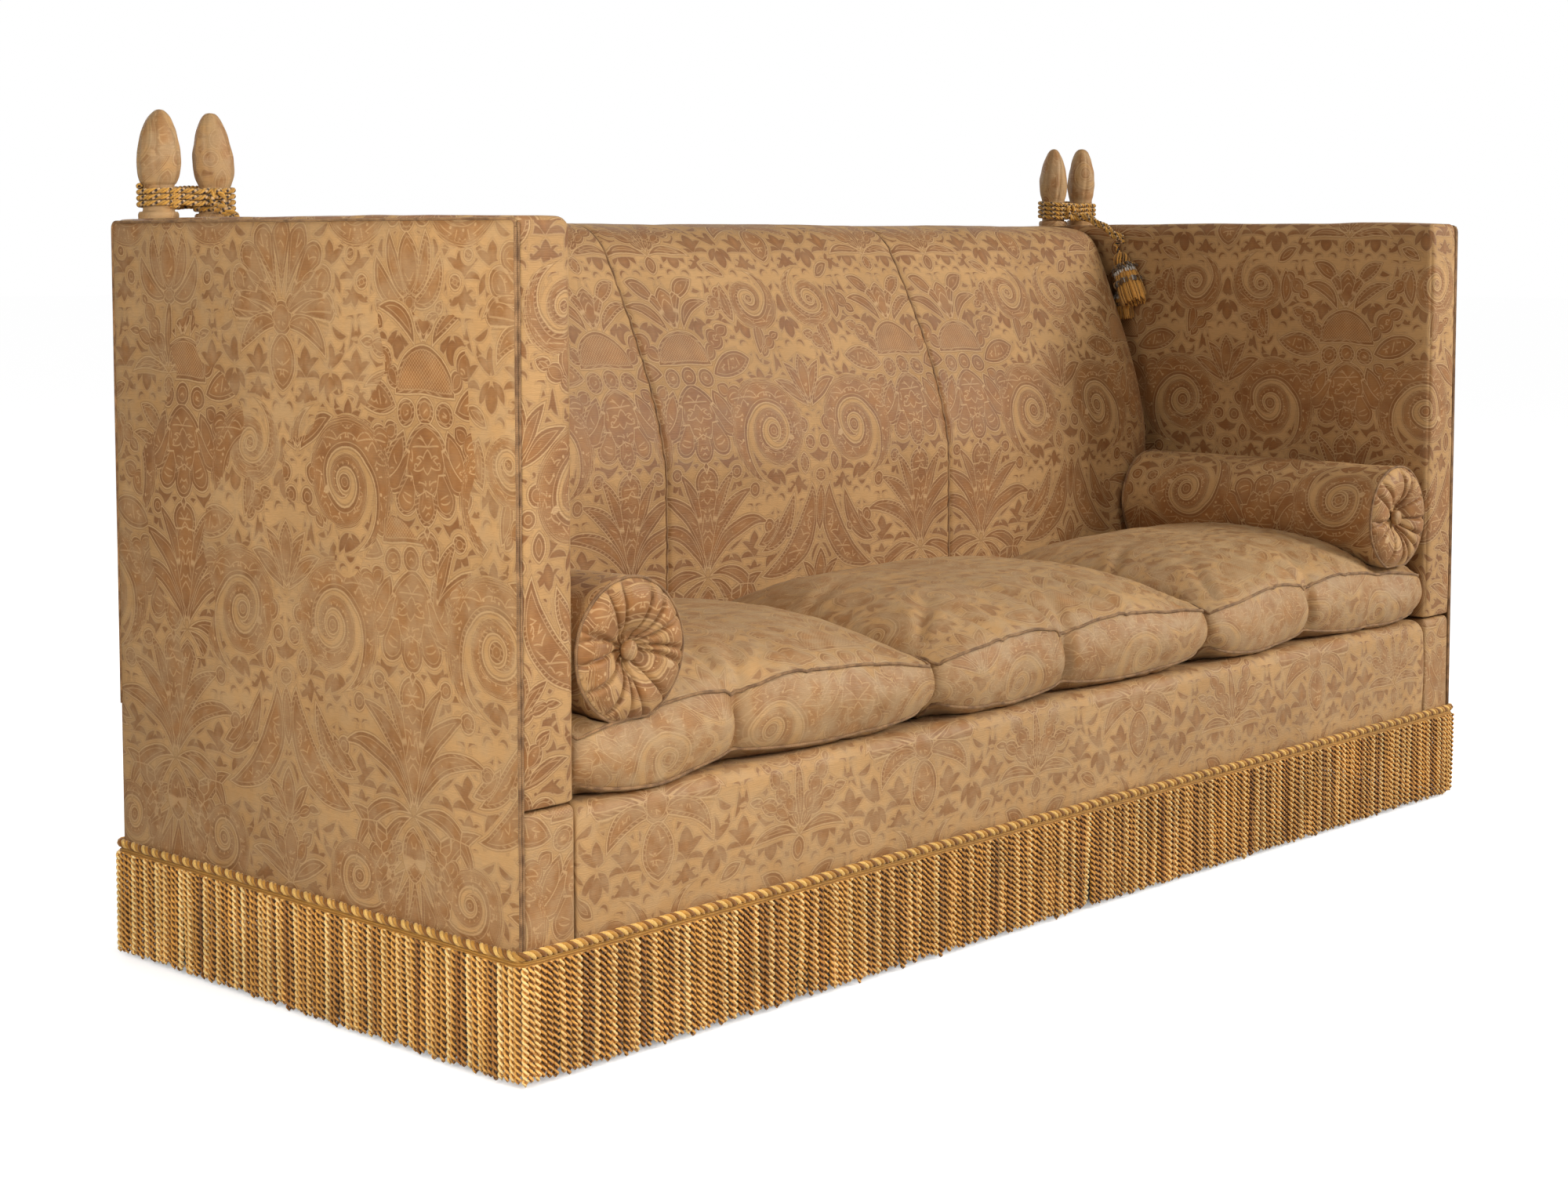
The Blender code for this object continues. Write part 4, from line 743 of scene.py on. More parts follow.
def cover_look(name, cloth, wear_and_painted_light):
    """The damask cover, rubbed and faded by a share from 0 to 1; that share is also set as painted shade on the front
    rail and as painted light on the finials.
    """
    look, tree, shader = new_look(name, 0.5, sheen=0.06, sheen_tint=(1.0, 0.86, 0.62))
    made = add_group(tree, cloth, Cloth=cloth_place(tree), Place=object_place(tree))
    made.inputs["Wear and painted light"].default_value = wear_and_painted_light
    tree.links.new(made.outputs["Color"], shader.inputs["Base Color"])
    tree.links.new(made.outputs["Roughness"], shader.inputs["Roughness"])
    shader.inputs["Specular IOR Level"].default_value = 0.25
    raise_surface(tree, shader, Reading(tree, made.outputs["Height"]), 0.0005, 0.7)
    return look


def thread_wear():
    """Fibres along a cord and the dust and fading of old thread."""
    tree, entry, leave = new_group(
        "thread_wear",
        [("Place", "Vector", None), ("Color", "Color", (0.5, 0.5, 0.5, 1.0))],
        [("Color", "Color"), ("Height", "Float")],
    )
    fibre = noise_reading(tree, entry["Place"], 900.0, 2.0, stretch=(1.0, 1.0, 0.35))
    fade = noise_reading(tree, entry["Place"], 14.0, 4.0)
    speck = noise_reading(tree, entry["Place"], 160.0, 3.0)
    colour = mixed(tree, 0.32, entry["Color"], calc_grey(tree, ramp_up(fibre, 0.32, 0.68)), "MULTIPLY")
    colour = mixed(tree, 0.3, colour, calc_grey(tree, ramp_up(fade, 0.3, 0.7)), "MULTIPLY")
    colour = mixed(tree, ramp_up(speck, 0.62, 0.8) * 0.25, colour, (0.62, 0.48, 0.28))
    tree.links.new(colour, leave.inputs["Color"])
    height = fibre * 0.7 + speck * 0.3
    tree.links.new(height.socket, leave.inputs["Height"])
    return tree


def thread_look(name, group, stops):
    """Silk or cotton thread whose colour follows each strand's shade."""
    look, tree, shader = new_look(name, 0.6, sheen=0.3, sheen_tint=(1.0, 0.88, 0.66))
    ramp = tree.nodes.new("ShaderNodeValToRGB")
    elements = ramp.color_ramp.elements
    for i, (place, colour) in enumerate(stops):
        element = elements[i] if i < 2 else elements.new(place)
        element.position = place
        element.color = (*colour, 1.0)
    tree.links.new(thread_shade(tree).socket, ramp.inputs[0])
    made = add_group(tree, group, Place=object_place(tree), Color=ramp.outputs[0])
    tree.links.new(made.outputs["Color"], shader.inputs["Base Color"])
    raise_surface(tree, shader, Reading(tree, made.outputs["Height"]), 0.0006, 0.7)
    return look


def painted_shade_welt_look(name):
    """Piping cut on the bias from the cover cloth, darker than it all over: painted shade of the shadow line along each
    welt.
    """
    look, tree, shader = new_look(name, 0.68, sheen=0.2, sheen_tint=(1.0, 0.86, 0.62))
    along, around, _ = split_vector(tree, cloth_place(tree))
    stripe = calc(tree, "SINE", along * 2600.0 + around * 6.2832)
    patch = noise_reading(tree, object_place(tree), 60.0, 3.0)
    # Dark browns, deeper than the cover cloth: painted shade of the shadow line along each welt and seam
    colour = mixed(tree, ramp_up(patch, 0.35, 0.65), (0.15, 0.072, 0.028), (0.33, 0.18, 0.075))
    colour = mixed(tree, 0.25, colour, calc_grey(tree, ramp_up(stripe, -1.0, 1.0)), "MULTIPLY")
    tree.links.new(colour, shader.inputs["Base Color"])
    raise_surface(tree, shader, ramp_up(stripe, -1.0, 1.0), 0.0003, 0.6)
    return look


def coarse_look(name, dark, light, scale):
    """A coarse plain weave, for hessian, lining, webbing and dust cloth."""
    look, tree, shader = new_look(name, 0.95, sheen=0.1)
    place = object_place(tree)
    x, y, z = split_vector(tree, place)
    warp = calc(tree, "SINE", x * scale)
    weft = calc(tree, "SINE", (y + z) * scale)
    slub = noise_reading(tree, place, 70.0, 4.0)
    weave = ramp_up(calc(tree, "MULTIPLY_ADD", warp, weft, slub), -0.4, 1.4)
    colour = mixed(tree, weave, dark, light)
    tree.links.new(colour, shader.inputs["Base Color"])
    raise_surface(tree, shader, weave, 0.0008, 0.7)
    return look


def wood_look(name, dark, light):
    look, tree, shader = new_look(name, 0.5)
    place = object_place(tree)
    grain = noise_reading(tree, place, 28.0, 5.0, stretch=(0.12, 1.0, 1.0))
    pore = noise_reading(tree, place, 300.0, 2.0, stretch=(0.05, 1.0, 1.0))
    colour = mixed(tree, ramp_up(grain, 0.32, 0.68), dark, light)
    colour = mixed(tree, 0.35, colour, calc_grey(tree, pore), "MULTIPLY")
    tree.links.new(colour, shader.inputs["Base Color"])
    tree.links.new(calc(tree, "MULTIPLY_ADD", pore, 0.3, 0.4).socket, shader.inputs["Roughness"])
    raise_surface(tree, shader, pore, 0.0003, 0.5)
    return look


def steel_look(name):
    look, tree, shader = new_look(name, 0.4, metallic=1.0)
    place = object_place(tree)
    scratch = noise_reading(tree, place, 220.0, 3.0, stretch=(1.0, 0.08, 1.0))
    stain = noise_reading(tree, place, 60.0, 4.0)
    colour = mixed(tree, ramp_up(stain, 0.45, 0.75), (0.42, 0.4, 0.37), (0.2, 0.14, 0.1))
    tree.links.new(colour, shader.inputs["Base Color"])
    tree.links.new(calc(tree, "MULTIPLY_ADD", scratch, 0.35, 0.28).socket, shader.inputs["Roughness"])
    raise_surface(tree, shader, scratch, 0.0002, 0.4)
    return look


drawing_group = damask_drawing()
cloth_group = damask_cloth(drawing_group)
thread_group = thread_wear()
cover = cover_look("damask", cloth_group, 0.16)
side_cover = cover_look("damask_sides", cloth_group, 0.42)
# The front rail's cloth is faded, and set darker than that as painted shade under the cushions' overhang
faded_and_shaded_rail_cover = cover_look("damask_front_rail_faded_and_shaded", cloth_group, 0.45)
cushion_cover = cover_look("damask_cushions", cloth_group, 0.66)
# The finials' cloth is faded, and set lighter than that as painted light that they catch from the front and side
faded_and_lit_finial_cover = cover_look("damask_finials_faded_and_lit", cloth_group, 0.7)
piping = painted_shade_welt_look("bias_piping_painted_shade")
# Its darkest stop is reached only in the grooves between strands: painted shade
fringe_thread = thread_look(
    "fringe_cotton", thread_group,
    [(0.0, (0.12, 0.042, 0.008)), (1.0, (1.0, 0.76, 0.34)), (0.24, (0.45, 0.182, 0.03)),
     (0.5, (0.85, 0.43, 0.085))],
)
heading_thread = thread_look(
    "heading_cord", thread_group,
    [(0.0, (0.24, 0.09, 0.01)), (1.0, (0.8, 0.49, 0.135)), (0.5, (0.49, 0.225, 0.03))],
)
rope_thread = thread_look(
    "rope", thread_group,
    [(0.0, (0.64, 0.33, 0.055)), (1.0, (0.7, 0.45, 0.22)), (0.5, (0.03, 0.014, 0.012))],
)
tassel_thread = thread_look(
    "tassel_silk", thread_group,
    [(0.0, (0.7, 0.33, 0.055)), (1.0, (0.7, 0.65, 0.58)), (0.5, (0.075, 0.042, 0.024))],
)
lining = coarse_look("platform_lining", (0.3, 0.22, 0.13), (0.46, 0.36, 0.23), 1500.0)
dust_cloth = coarse_look("dust_cloth", (0.01, 0.01, 0.01), (0.04, 0.038, 0.036), 2400.0)
web = coarse_look("jute_web", (0.28, 0.2, 0.1), (0.52, 0.42, 0.27), 1100.0)
beech = wood_look("beech", (0.36, 0.22, 0.11), (0.56, 0.38, 0.21))
steel = steel_look("steel")

slot_looks = {"beech": beech, "steel": steel, "jute_web": web, "hessian": lining, "black_cloth": dust_cloth,
              "damask": cover, "gold_cord": heading_thread, "rope_cord": rope_thread, "tassel_silk": tassel_thread}
node_slots = {part["node"]: part["material_slot"] for part in frame["record"]["subparts"]}
for node_name, node in frame["nodes"].items():
    node.data.materials.clear()
    node.data.materials.append(slot_looks[node_slots[node_name]])


# Padded blocks

def spaced(low, high, round_low, round_high, step):
    """Places from low to high, close together where the edges are rounded."""
    bend = np.array((0.0, 0.12, 0.3, 0.5, 0.72, 1.0))
    start = low + round_low * bend
    end = high - round_high * bend[::-1]
    count = max(1, round((end[0] - start[-1]) / step))
    return np.concatenate([start, np.linspace(start[-1], end[0], count + 1)[1:-1], end])


def box_faces(low, high, round_low, round_high, step):
    """The six faces of a box, each as its axis, its end and a grid of points."""
    lines = [spaced(low[i], high[i], round_low[i], round_high[i], step) for i in range(3)]
    for axis in range(3):
        a, b = (axis + 1) % 3, (axis + 2) % 3
        for end in (0, 1):
            grid = np.empty((len(lines[a]), len(lines[b]), 3))
            grid[..., axis] = (low, high)[end][axis]
            grid[..., a] = lines[a][:, None]
            grid[..., b] = lines[b][None, :]
            yield axis, end, grid


def rounded(points, low, high, round_low, round_high):
    """The points of a box's faces, with its edges rounded by a radius for each axis and end."""
    core = np.clip(points, low + round_low, high - round_high)
    away = points - core
    radius = np.where(away < 0, round_low, round_high)
    share = away / radius
    length = np.linalg.norm(share, axis=-1, keepdims=True)
    return core + radius * share / np.maximum(length, 1.0)


def padded_block(low, high, round_low, round_high, step, puff, cloth_of, seed):
    """A stuffed block: rounded edges, faces crowned by puff and slightly uneven."""
    low, high, round_low, round_high = (np.array(part, float) for part in (low, high, round_low, round_high))
    work = Workpiece()
    for axis, end, grid in box_faces(low, high, round_low, round_high, step):
        cloth = cloth_of(axis, end, grid)
        points = rounded(grid, low, high, round_low, round_high)
        shares = np.abs(2 * (grid - low) / (high - low) - 1)
        a, b = (axis + 1) % 3, (axis + 2) % 3
        full = (1 - shares[..., a] ** 8) * (1 - shares[..., b] ** 8)
        lumps = puff * (0.75 + 0.5 * wander(grid, 0.22, seed)) + 0.3 * puff * wander(grid, 0.07, seed + 9)
        points[..., axis] += full * lumps * (1 if end else -1)
        work.grid(points, cloth)
    return work


def upright_cloth(low_x, low_y, high_y, high_z, shift):
    """Cloth laid on a block's inner face, and on round its front, top and rear."""
    def laid(axis, end, grid):
        x, y, z = grid[..., 0], grid[..., 1], grid[..., 2]
        u, v = -y, z
        if axis == 1:
            u = -high_y - (x - low_x) if end else -low_y + (x - low_x)
        elif axis == 2:
            v = high_z + (x - low_x)
        return np.stack(np.broadcast_arrays(u + shift[0], v + shift[1]), axis=-1)
    return laid


block_outer_x = half_length + cloth_out - cloth_thickness - 0.0004


def build_arm_padding(side):
    """The arm's padding, covered over its inner face, front, top and rear."""
    word = side_word(side)
    low = (inner_x, -half_depth, arm_bottom)
    high = (block_outer_x, half_depth, arm_top)
    laid = upright_cloth(inner_x, -half_depth, half_depth, arm_top, (repeat_half_width, -0.215))
    work = padded_block(low, high, (0.02, 0.01, 0.004), (0.01, 0.01, 0.016), 0.012, 0.0035, laid, 3.0 + side)
    piece = work.make(word + "_arm_padding", cover, mirror=side < 0)
    settle(piece, word + "_arm", "damask", word + "_arm_pad", fill=0.9)


def build_base_block(side):
    """The covered block that the arm stands on."""
    word = side_word(side)
    low = (inner_x + 0.0005, -half_depth, hem_height)
    high = (block_outer_x, half_depth, base_top)
    laid = upright_cloth(inner_x, -half_depth, half_depth, base_top, (0.11, 0.31))
    work = padded_block(low, high, (0.008, 0.008, 0.003), (0.012, 0.008, 0.01), 0.012, 0.0015, laid, 6.0 + side)
    piece = work.make(word + "_base_block", side_cover, mirror=side < 0)
    settle(piece, "base", "damask", word + "_base_cover", fill=0.9)


side_skirt_low = 0.158
side_skin_top = arm_top - 0.0045
hinge_fold = 0.01


def fold_at_hinge(piece, side):
    """Bakes a cover's placing into its mesh; the ends of the arm's hinge line are worked out but not used."""
    start, end = ((side * half_length, 0, hinge_height + rise) for rise in (-hinge_fold, hinge_fold))
    side_word(side) + "_arm"
    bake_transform(piece)
    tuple(start)
    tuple(end)


def build_side_cloth(side):
    """The outside cover, one cloth from the hem to the top welt, with close rows across the hinge line."""
    ys = spaced(-half_depth, half_depth, 0.006, 0.006, 0.011)
    fold = np.linspace(hinge_height - hinge_fold, hinge_height + hinge_fold, 13)
    zs = np.concatenate([np.linspace(side_skirt_low, fold[0], 18)[:-1], fold,
                         np.linspace(fold[-1], side_skin_top, 66)[1:]])
    grid = np.empty((len(ys), len(zs), 3))
    grid[..., 0] = half_length + cloth_out
    grid[..., 1] = ys[:, None]
    grid[..., 2] = zs[None, :]
    edge = np.minimum(1, np.minimum(half_depth - np.abs(grid[..., 1]), side_skin_top - grid[..., 2]) / 0.012)
    near_hinge = eased(np.abs(grid[..., 2] - hinge_height) / 0.05)
    puff = 0.0016 * (0.7 + 0.6 * wander(grid, 0.25, 2.0 + side)) * eased(edge) * near_hinge
    outer = grid.copy()
    outer[..., 0] += puff
    outer[..., 0] -= 0.0006 * (1 - eased(edge * 1.6))
    inner = outer - (cloth_thickness, 0, 0)
    work = Workpiece()
    work.sheet(outer, inner, np.stack([grid[..., 1] + 0.2355, grid[..., 2] - 0.025], axis=-1))
    word = side_word(side)
    piece = work.make(word + "_side_cloth", side_cover, mirror=side < 0)
    fold_at_hinge(piece, side)
    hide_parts(word + "_arm_outer_panel")


def build_side_welts(side):
    """Welts round the outside cover: a pair down the front corner, one along the top and down the rear."""
    word = side_word(side)
    x = half_length + 0.0002
    top = side_skin_top + 0.0012
    corner = 0.01
    front = -half_depth - 0.0002
    work = Workpiece()
    bends = [(front + corner * (1 - math.sin(t)), top - corner * (1 - math.cos(t)))
             for t in np.linspace(math.pi / 2, 0, 6)]
    rising = [(front, z) for z in np.linspace(side_skirt_low, hinge_height - hinge_fold * 2, 12)]
    rising += [(front, z) for z in np.linspace(hinge_height - hinge_fold * 1.8, hinge_height + hinge_fold * 1.8, 15)]
    rising += [(front, z) for z in np.linspace(hinge_height + hinge_fold * 2, top - corner, 50)[:-1]]
    beside = x - 2.1 * welt_radius
    run = [(x, y, z) for y, z in rising + bends[:1]]
    inner = [(beside, y, z) for y, z in rising] + [(beside, front, top - corner * 0.4)]
    for line in (np.array(run), np.array(inner)):
        shake = 0.0006 * wander(line, 0.05, 4.0 + side)
        line[:, 0] += shake
        line[:, 1] += 0.5 * shake
        work.tube(line, welt_radius, 8)
    fold_at_hinge(work.make(word + "_front_welts", piping, mirror=side < 0), side)
    over = [(x, *place) for place in bends]
    over += [(x, y, top) for y in np.linspace(front + corner, half_depth - corner, 60)[1:-1]]
    over += [(x, half_depth - corner * (1 - math.sin(t)), top - corner * (1 - math.cos(t)))
             for t in np.linspace(0, math.pi / 2, 6)]
    over += [(x, half_depth, z) for z in np.linspace(top - corner, hinge_height + hinge_fold * 3, 40)[1:]]
    over = np.array(over)
    over[:, 2] += 0.0012 * wander(over, 0.12, 8.0 + side)
    work = Workpiece()
    work.tube(over, welt_radius * 0.85, 8)
    settle(work.make(word + "_top_welt", piping, mirror=side < 0), word + "_arm", "damask")


# The front rail

def rail_section():
    """The padded front rail's section, as (y, z) from its hem round to its rear."""
    front = -half_depth
    knee = seat_level - front_roll_radius
    outline = [(front, z) for z in np.linspace(hem_height, heading_top - 0.01, 5)]
    outline += [(front - 0.003 * math.sin(math.pi * s), heading_top + (knee - heading_top) * s)
                for s in np.linspace(0, 1, 15)]
    outline += [(front + front_roll_radius * (1 - math.cos(t)), knee + front_roll_radius * math.sin(t))
                for t in np.linspace(0, math.pi / 2, 12)[1:]]
    rear = front + 0.015 + front_roll_depth
    small = front_roll_radius / 2
    outline += [(rear - small * (1 - math.sin(t)), seat_level - small * (1 - math.cos(t)))
                for t in np.linspace(0, math.pi / 2, 6)]
    wall = frame_front - touch_gap
    outline += [(rear, rail_top + touch_gap), (wall, rail_top + touch_gap), (wall, hem_height)]
    return np.array(outline)


def build_front_rail():
    """The front rail's padding between the arm blocks, with a sewn seam at each end."""
    section = rail_section()
    reach = inner_x - 0.0008
    xs = spaced(-reach, reach, 0.012, 0.012, 0.014)
    middle = section.mean(axis=0)
    run = run_lengths(np.concatenate([section, section[:1]]))
    rings, cloth = [], []
    for x in xs:
        near = min(1, (reach - abs(x)) / 0.012)
        tuck = 0.005 * (1 - math.sqrt(max(0, 1 - (1 - near) ** 2)))
        ring = section + (middle - section) * tuck / 0.03
        rings.append(np.column_stack([np.full(len(ring), x), ring]))
        cloth.append(np.column_stack([np.full(len(run), x + 0.12), 0.72 + run]))
    rings = np.array(rings)
    lumps = 0.0012 * wander(rings, 0.16, 12.0)
    rings[:, 5:30, 1] -= lumps[:, 5:30]
    ends = [np.broadcast_to(rings[end].mean(axis=0), (1, *rings[end].shape)) for end in (0, -1)]
    rings = np.concatenate([ends[0], rings, ends[1]])
    cloth = np.concatenate([cloth[:1], cloth, cloth[-1:]])
    work = Workpiece()
    work.grid(rings, np.array(cloth), around=True)
    settle(work.make("front_rail_padding", faded_and_shaded_rail_cover), "base", "damask", "front_rail_cover", fill=0.9)


# The back

def back_face_at(height):
    """How far back the inside back's face lies at a height."""
    share = max(0.0, (height - back_straight_top) / (back_top - back_straight_top))
    return back_front_y + back_lean * share ** 1.55


def upright_front_at(height):
    """The front of the back's tapered uprights at a height."""
    share = (height - seat_level) / (back_frame_top - seat_level)
    return 0.23 + 0.12 * max(0.0, min(1.0, share))


def build_inside_back():
    """The stuffed inside back, rolled over at the top, with two sewn seams and rounded ends."""
    low = seat_level + touch_gap
    bend_radius = 0.15
    bend = back_end_x - bend_radius
    beside = (0.003, 0.0055, 0.01, 0.018, 0.03)
    near_seams = [seam_x - s for s in reversed(beside)] + [seam_x] + [seam_x + s for s in beside]
    xs = list(np.linspace(0, seam_x - 0.03, 24)[:-1]) + near_seams
    xs += list(np.linspace(seam_x + 0.03, bend, 36)[1:])
    xs += [bend + bend_radius * math.sin(math.pi / 2 * s) for s in np.linspace(0, 1, 18)[1:]]
    xs = np.array([-x for x in reversed(xs[1:])] + xs)
    heights = np.concatenate([np.linspace(low, back_straight_top, 26)[:-1],
                              np.linspace(back_straight_top, back_frame_top, 34)])
    roll_shares = smooth_path([(0.0, 0.0), (0.1, 0.45), (0.24, 0.78), (0.45, 0.97), (0.68, 1.0), (0.88, 0.9),
                               (1.0, 0.6)], 22)[1:]
    roll_start = back_face_at(back_frame_top)
    roll = back_top - back_frame_top
    rings, cloth = [], []
    for x in xs:
        past = max(0.0, abs(x) - bend) / bend_radius
        turn = 1 - math.sqrt(max(0.0, 1 - past * past))
        panel = abs(x) / seam_x if abs(x) < seam_x else (abs(x) - seam_x) / (bend - seam_x)
        crown = math.cos(math.pi / 2 * panel) if abs(x) < seam_x else math.sin(math.pi * min(1, panel))
        valley = math.exp(-((abs(x) - seam_x) / 0.0045) ** 2)
        ring = []
        for height in heights:
            low_share = eased((height - low) / 0.2)
            face = back_face_at(height) - 0.006 * crown * low_share + 0.0045 * valley
            retreat = 0.88 * (upright_front_at(height) - touch_gap - back_face_at(height)) * turn
            ring.append((x, face + retreat, height))
        drop = 0.01 * turn
        last_retreat = ring[-1][1] - roll_start
        for along, up in roll_shares:
            y = roll_start + (back_frame_rear - roll_start) * along + last_retreat * (1 - along)
            ring.append((x, y, back_frame_top + roll * up - drop * up - 0.003 * valley * up))
        ring += [(x, back_frame_rear, z) for z in np.linspace(ring[-1][2], low, 8)[1:]]
        rings.append(ring)
    rings = np.array(rings)
    face_rows = len(heights) + len(roll_shares) - 4
    lumps = 0.0022 * wander(rings, 0.2, 21.0) + 0.0008 * wander(rings, 0.06, 22.0)
    near = np.exp(-((np.abs(rings[..., 0]) - seam_x) / 0.028) ** 2)
    pull = 0.0011 * near * np.sin(rings[..., 2] * 2 * np.pi / 0.034 + 3 * wander(rings, 0.1, 5.0))
    rings[:, :face_rows, 1] -= (lumps + pull)[:, :face_rows]
    roll_rows = slice(len(heights), face_rows)
    rings[:, roll_rows, 2] += lumps[:, roll_rows]
    for i, x in enumerate(xs):
        closed = np.concatenate([rings[i], rings[i][:1]])
        run = run_lengths(closed)
        panel_middle = 0.0 if abs(x) <= seam_x else math.copysign(outer_panel_x, x)
        u = x - panel_middle + math.copysign(0.3 * max(0.0, abs(x) - bend), x) + repeat_half_width
        cloth.append(np.column_stack([np.full(len(run), u), low - 0.215 + run]))
    work = Workpiece()
    work.grid(rings, np.array(cloth), around=True)
    for end in (0, -1):
        centre = rings[end].mean(axis=0)
        side = 1 if end else -1
        shells = []
        for share, out in ((0.0, 0.0), (0.04, 0.0012), (0.12, 0.0018), (0.5, 0.0022), (1.0, 0.0022)):
            shell = rings[end] + (centre - rings[end]) * share
            shell[:, 0] = rings[end][:, 0] + side * out
            shells.append(shell)
        shells = np.array(shells)
        work.grid(shells, joined_round(shells[..., 1:]), around=True)
    settle(work.make("inside_back", cover), "base", "damask", "back_pad", fill=0.85)
    work = Workpiece()
    for side in (-1, 1):
        i = int(np.argmin(np.abs(xs - side * seam_x)))
        line = rings[i, 2:face_rows].copy()
        line[:len(heights) - 2, 1] -= 0.0006
        line[:, 0] += 0.0008 * wander(line, 0.03, 6.0)
        work.tube(even_path(line, 0.006), 0.0021, 8)
    settle(work.make("back_seam_welts", piping), "base", "damask")


def build_outside_back():
    """The flat rear cover between the arms, tacked over the frame with a welt along its top and sides."""
    reach = back_end_x - 0.0005
    low = (-reach, back_frame_rear + 0.0006, hem_height)
    high = (reach, half_depth, back_top - 0.014)

    def laid(axis, end, grid):
        return np.stack([grid[..., 0], grid[..., 2] + 0.11], axis=-1)

    work = padded_block(low, high, (0.003, 0.002, 0.003), (0.003, 0.005, 0.004), 0.016, 0.0012, laid, 31.0)
    settle(work.make("outside_back_cover", side_cover), "base", "damask", "outside_back", fill=0.9)
    inset = 0.002
    route = [(-reach + inset, half_depth, z) for z in np.linspace(side_skirt_low, high[2] - 0.012, 40)]
    route += [(-reach + inset + 0.008 * (1 - math.cos(t)), half_depth, high[2] - 0.012 + 0.01 * math.sin(t))
              for t in np.linspace(0, math.pi / 2, 6)[1:]]
    route += [(x, half_depth, high[2] - inset) for x in np.linspace(-reach + 0.012, reach - 0.012, 120)[1:]]
    route += [(-x, y, z) for x, y, z in reversed(route[:45])]
    work = Workpiece()
    work.tube(np.array(route), welt_radius * 0.9, 8)
    settle(work.make("outside_back_welt", piping), "base", "damask")


# Cushions

cushion_half_depth = 0.276
cushion_reach = inner_x - 0.003
cushion_width = (2 * cushion_reach - 0.006) / 3
roll_centre_y = -half_depth + front_roll_radius
cushion_steps = (76, 58, 12)
cushion_wall, cushion_dome, cushion_crown = 0.082, 0.024, 0.058
# A bolster lies flat on its cushion this far from its middle, and this far below it
flat_reach = 0.036
flat_drop = 0.0892
crown_stretch = 1.08


def seat_height_at(y):
    """The height that the seat and the rolled front rail give at a distance from front to back."""
    out = np.clip(roll_centre_y - y, 0, front_roll_radius)
    return seat_level - front_roll_radius + np.sqrt(front_roll_radius ** 2 - out ** 2)


def swell(points, faces, frames, cap, seed_name):
    """Blows a closed form up like a feather case and gives how far each point moves, at most a cap."""
    mesh = bpy.data.meshes.new(seed_name)
    mesh.from_pydata(points.tolist(), [], faces.tolist())
    pad = bpy.data.objects.new(seed_name, mesh)
    scene = bpy.context.scene
    scene.collection.objects.link(pad)
    simulation = pad.modifiers.new("swell", "CLOTH")
    settings = simulation.settings
    settings.quality = 4
    settings.mass = 0.25
    settings.tension_stiffness = 12
    settings.compression_stiffness = 12
    settings.shear_stiffness = 4
    settings.bending_stiffness = 0.15
    settings.use_pressure = True
    settings.uniform_pressure_force = 3.0
    settings.shrink_min = -0.03
    settings.effector_weights.gravity = 0.0
    simulation.collision_settings.use_self_collision = False
    simulation.point_cache.frame_start = 1
    simulation.point_cache.frame_end = frames
    for number in range(1, frames + 1):
        scene.frame_set(number)
    shown = pad.evaluated_get(bpy.context.evaluated_depsgraph_get())
    after = np.empty(len(points) * 3)
    shown.data.vertices.foreach_get("co", after)
    scene.frame_set(1)
    bpy.data.objects.remove(pad)
    bpy.data.meshes.remove(mesh)
    moved = after.reshape(-1, 3) - points
    length = np.linalg.norm(moved, axis=1, keepdims=True)
    return moved * np.minimum(1, cap / np.maximum(length, 1e-9))


def fold_depths(x, y, folds):
    """How deep the folds of a case are at each point; each fold runs from a point at an angle and fades out."""
    depth = np.zeros(np.shape(x))
    for start_x, start_y, degrees, length, width, deep in folds:
        c, s = math.cos(math.radians(degrees)), math.sin(math.radians(degrees))
        along = (x - start_x) * c + (y - start_y) * s
        across = -(x - start_x) * s + (y - start_y) * c + 0.1 * along * along / max(length, 0.01)
        share = along / length
        fade = eased((share + 0.06) / 0.12) * (1 - eased((share - 0.25) / 0.75))
        wide = width * (0.7 + 1.1 * np.clip(share, 0, 1))
        painted_groove_shade = np.exp(-(across / wide) ** 2)
        lips = 0.38 * (np.exp(-((across - 2.1 * wide) / (1.5 * wide)) ** 2)
                       + np.exp(-((across + 2.1 * wide) / (1.5 * wide)) ** 2))
        depth += deep * fade * (painted_groove_shade - lips)
    return depth


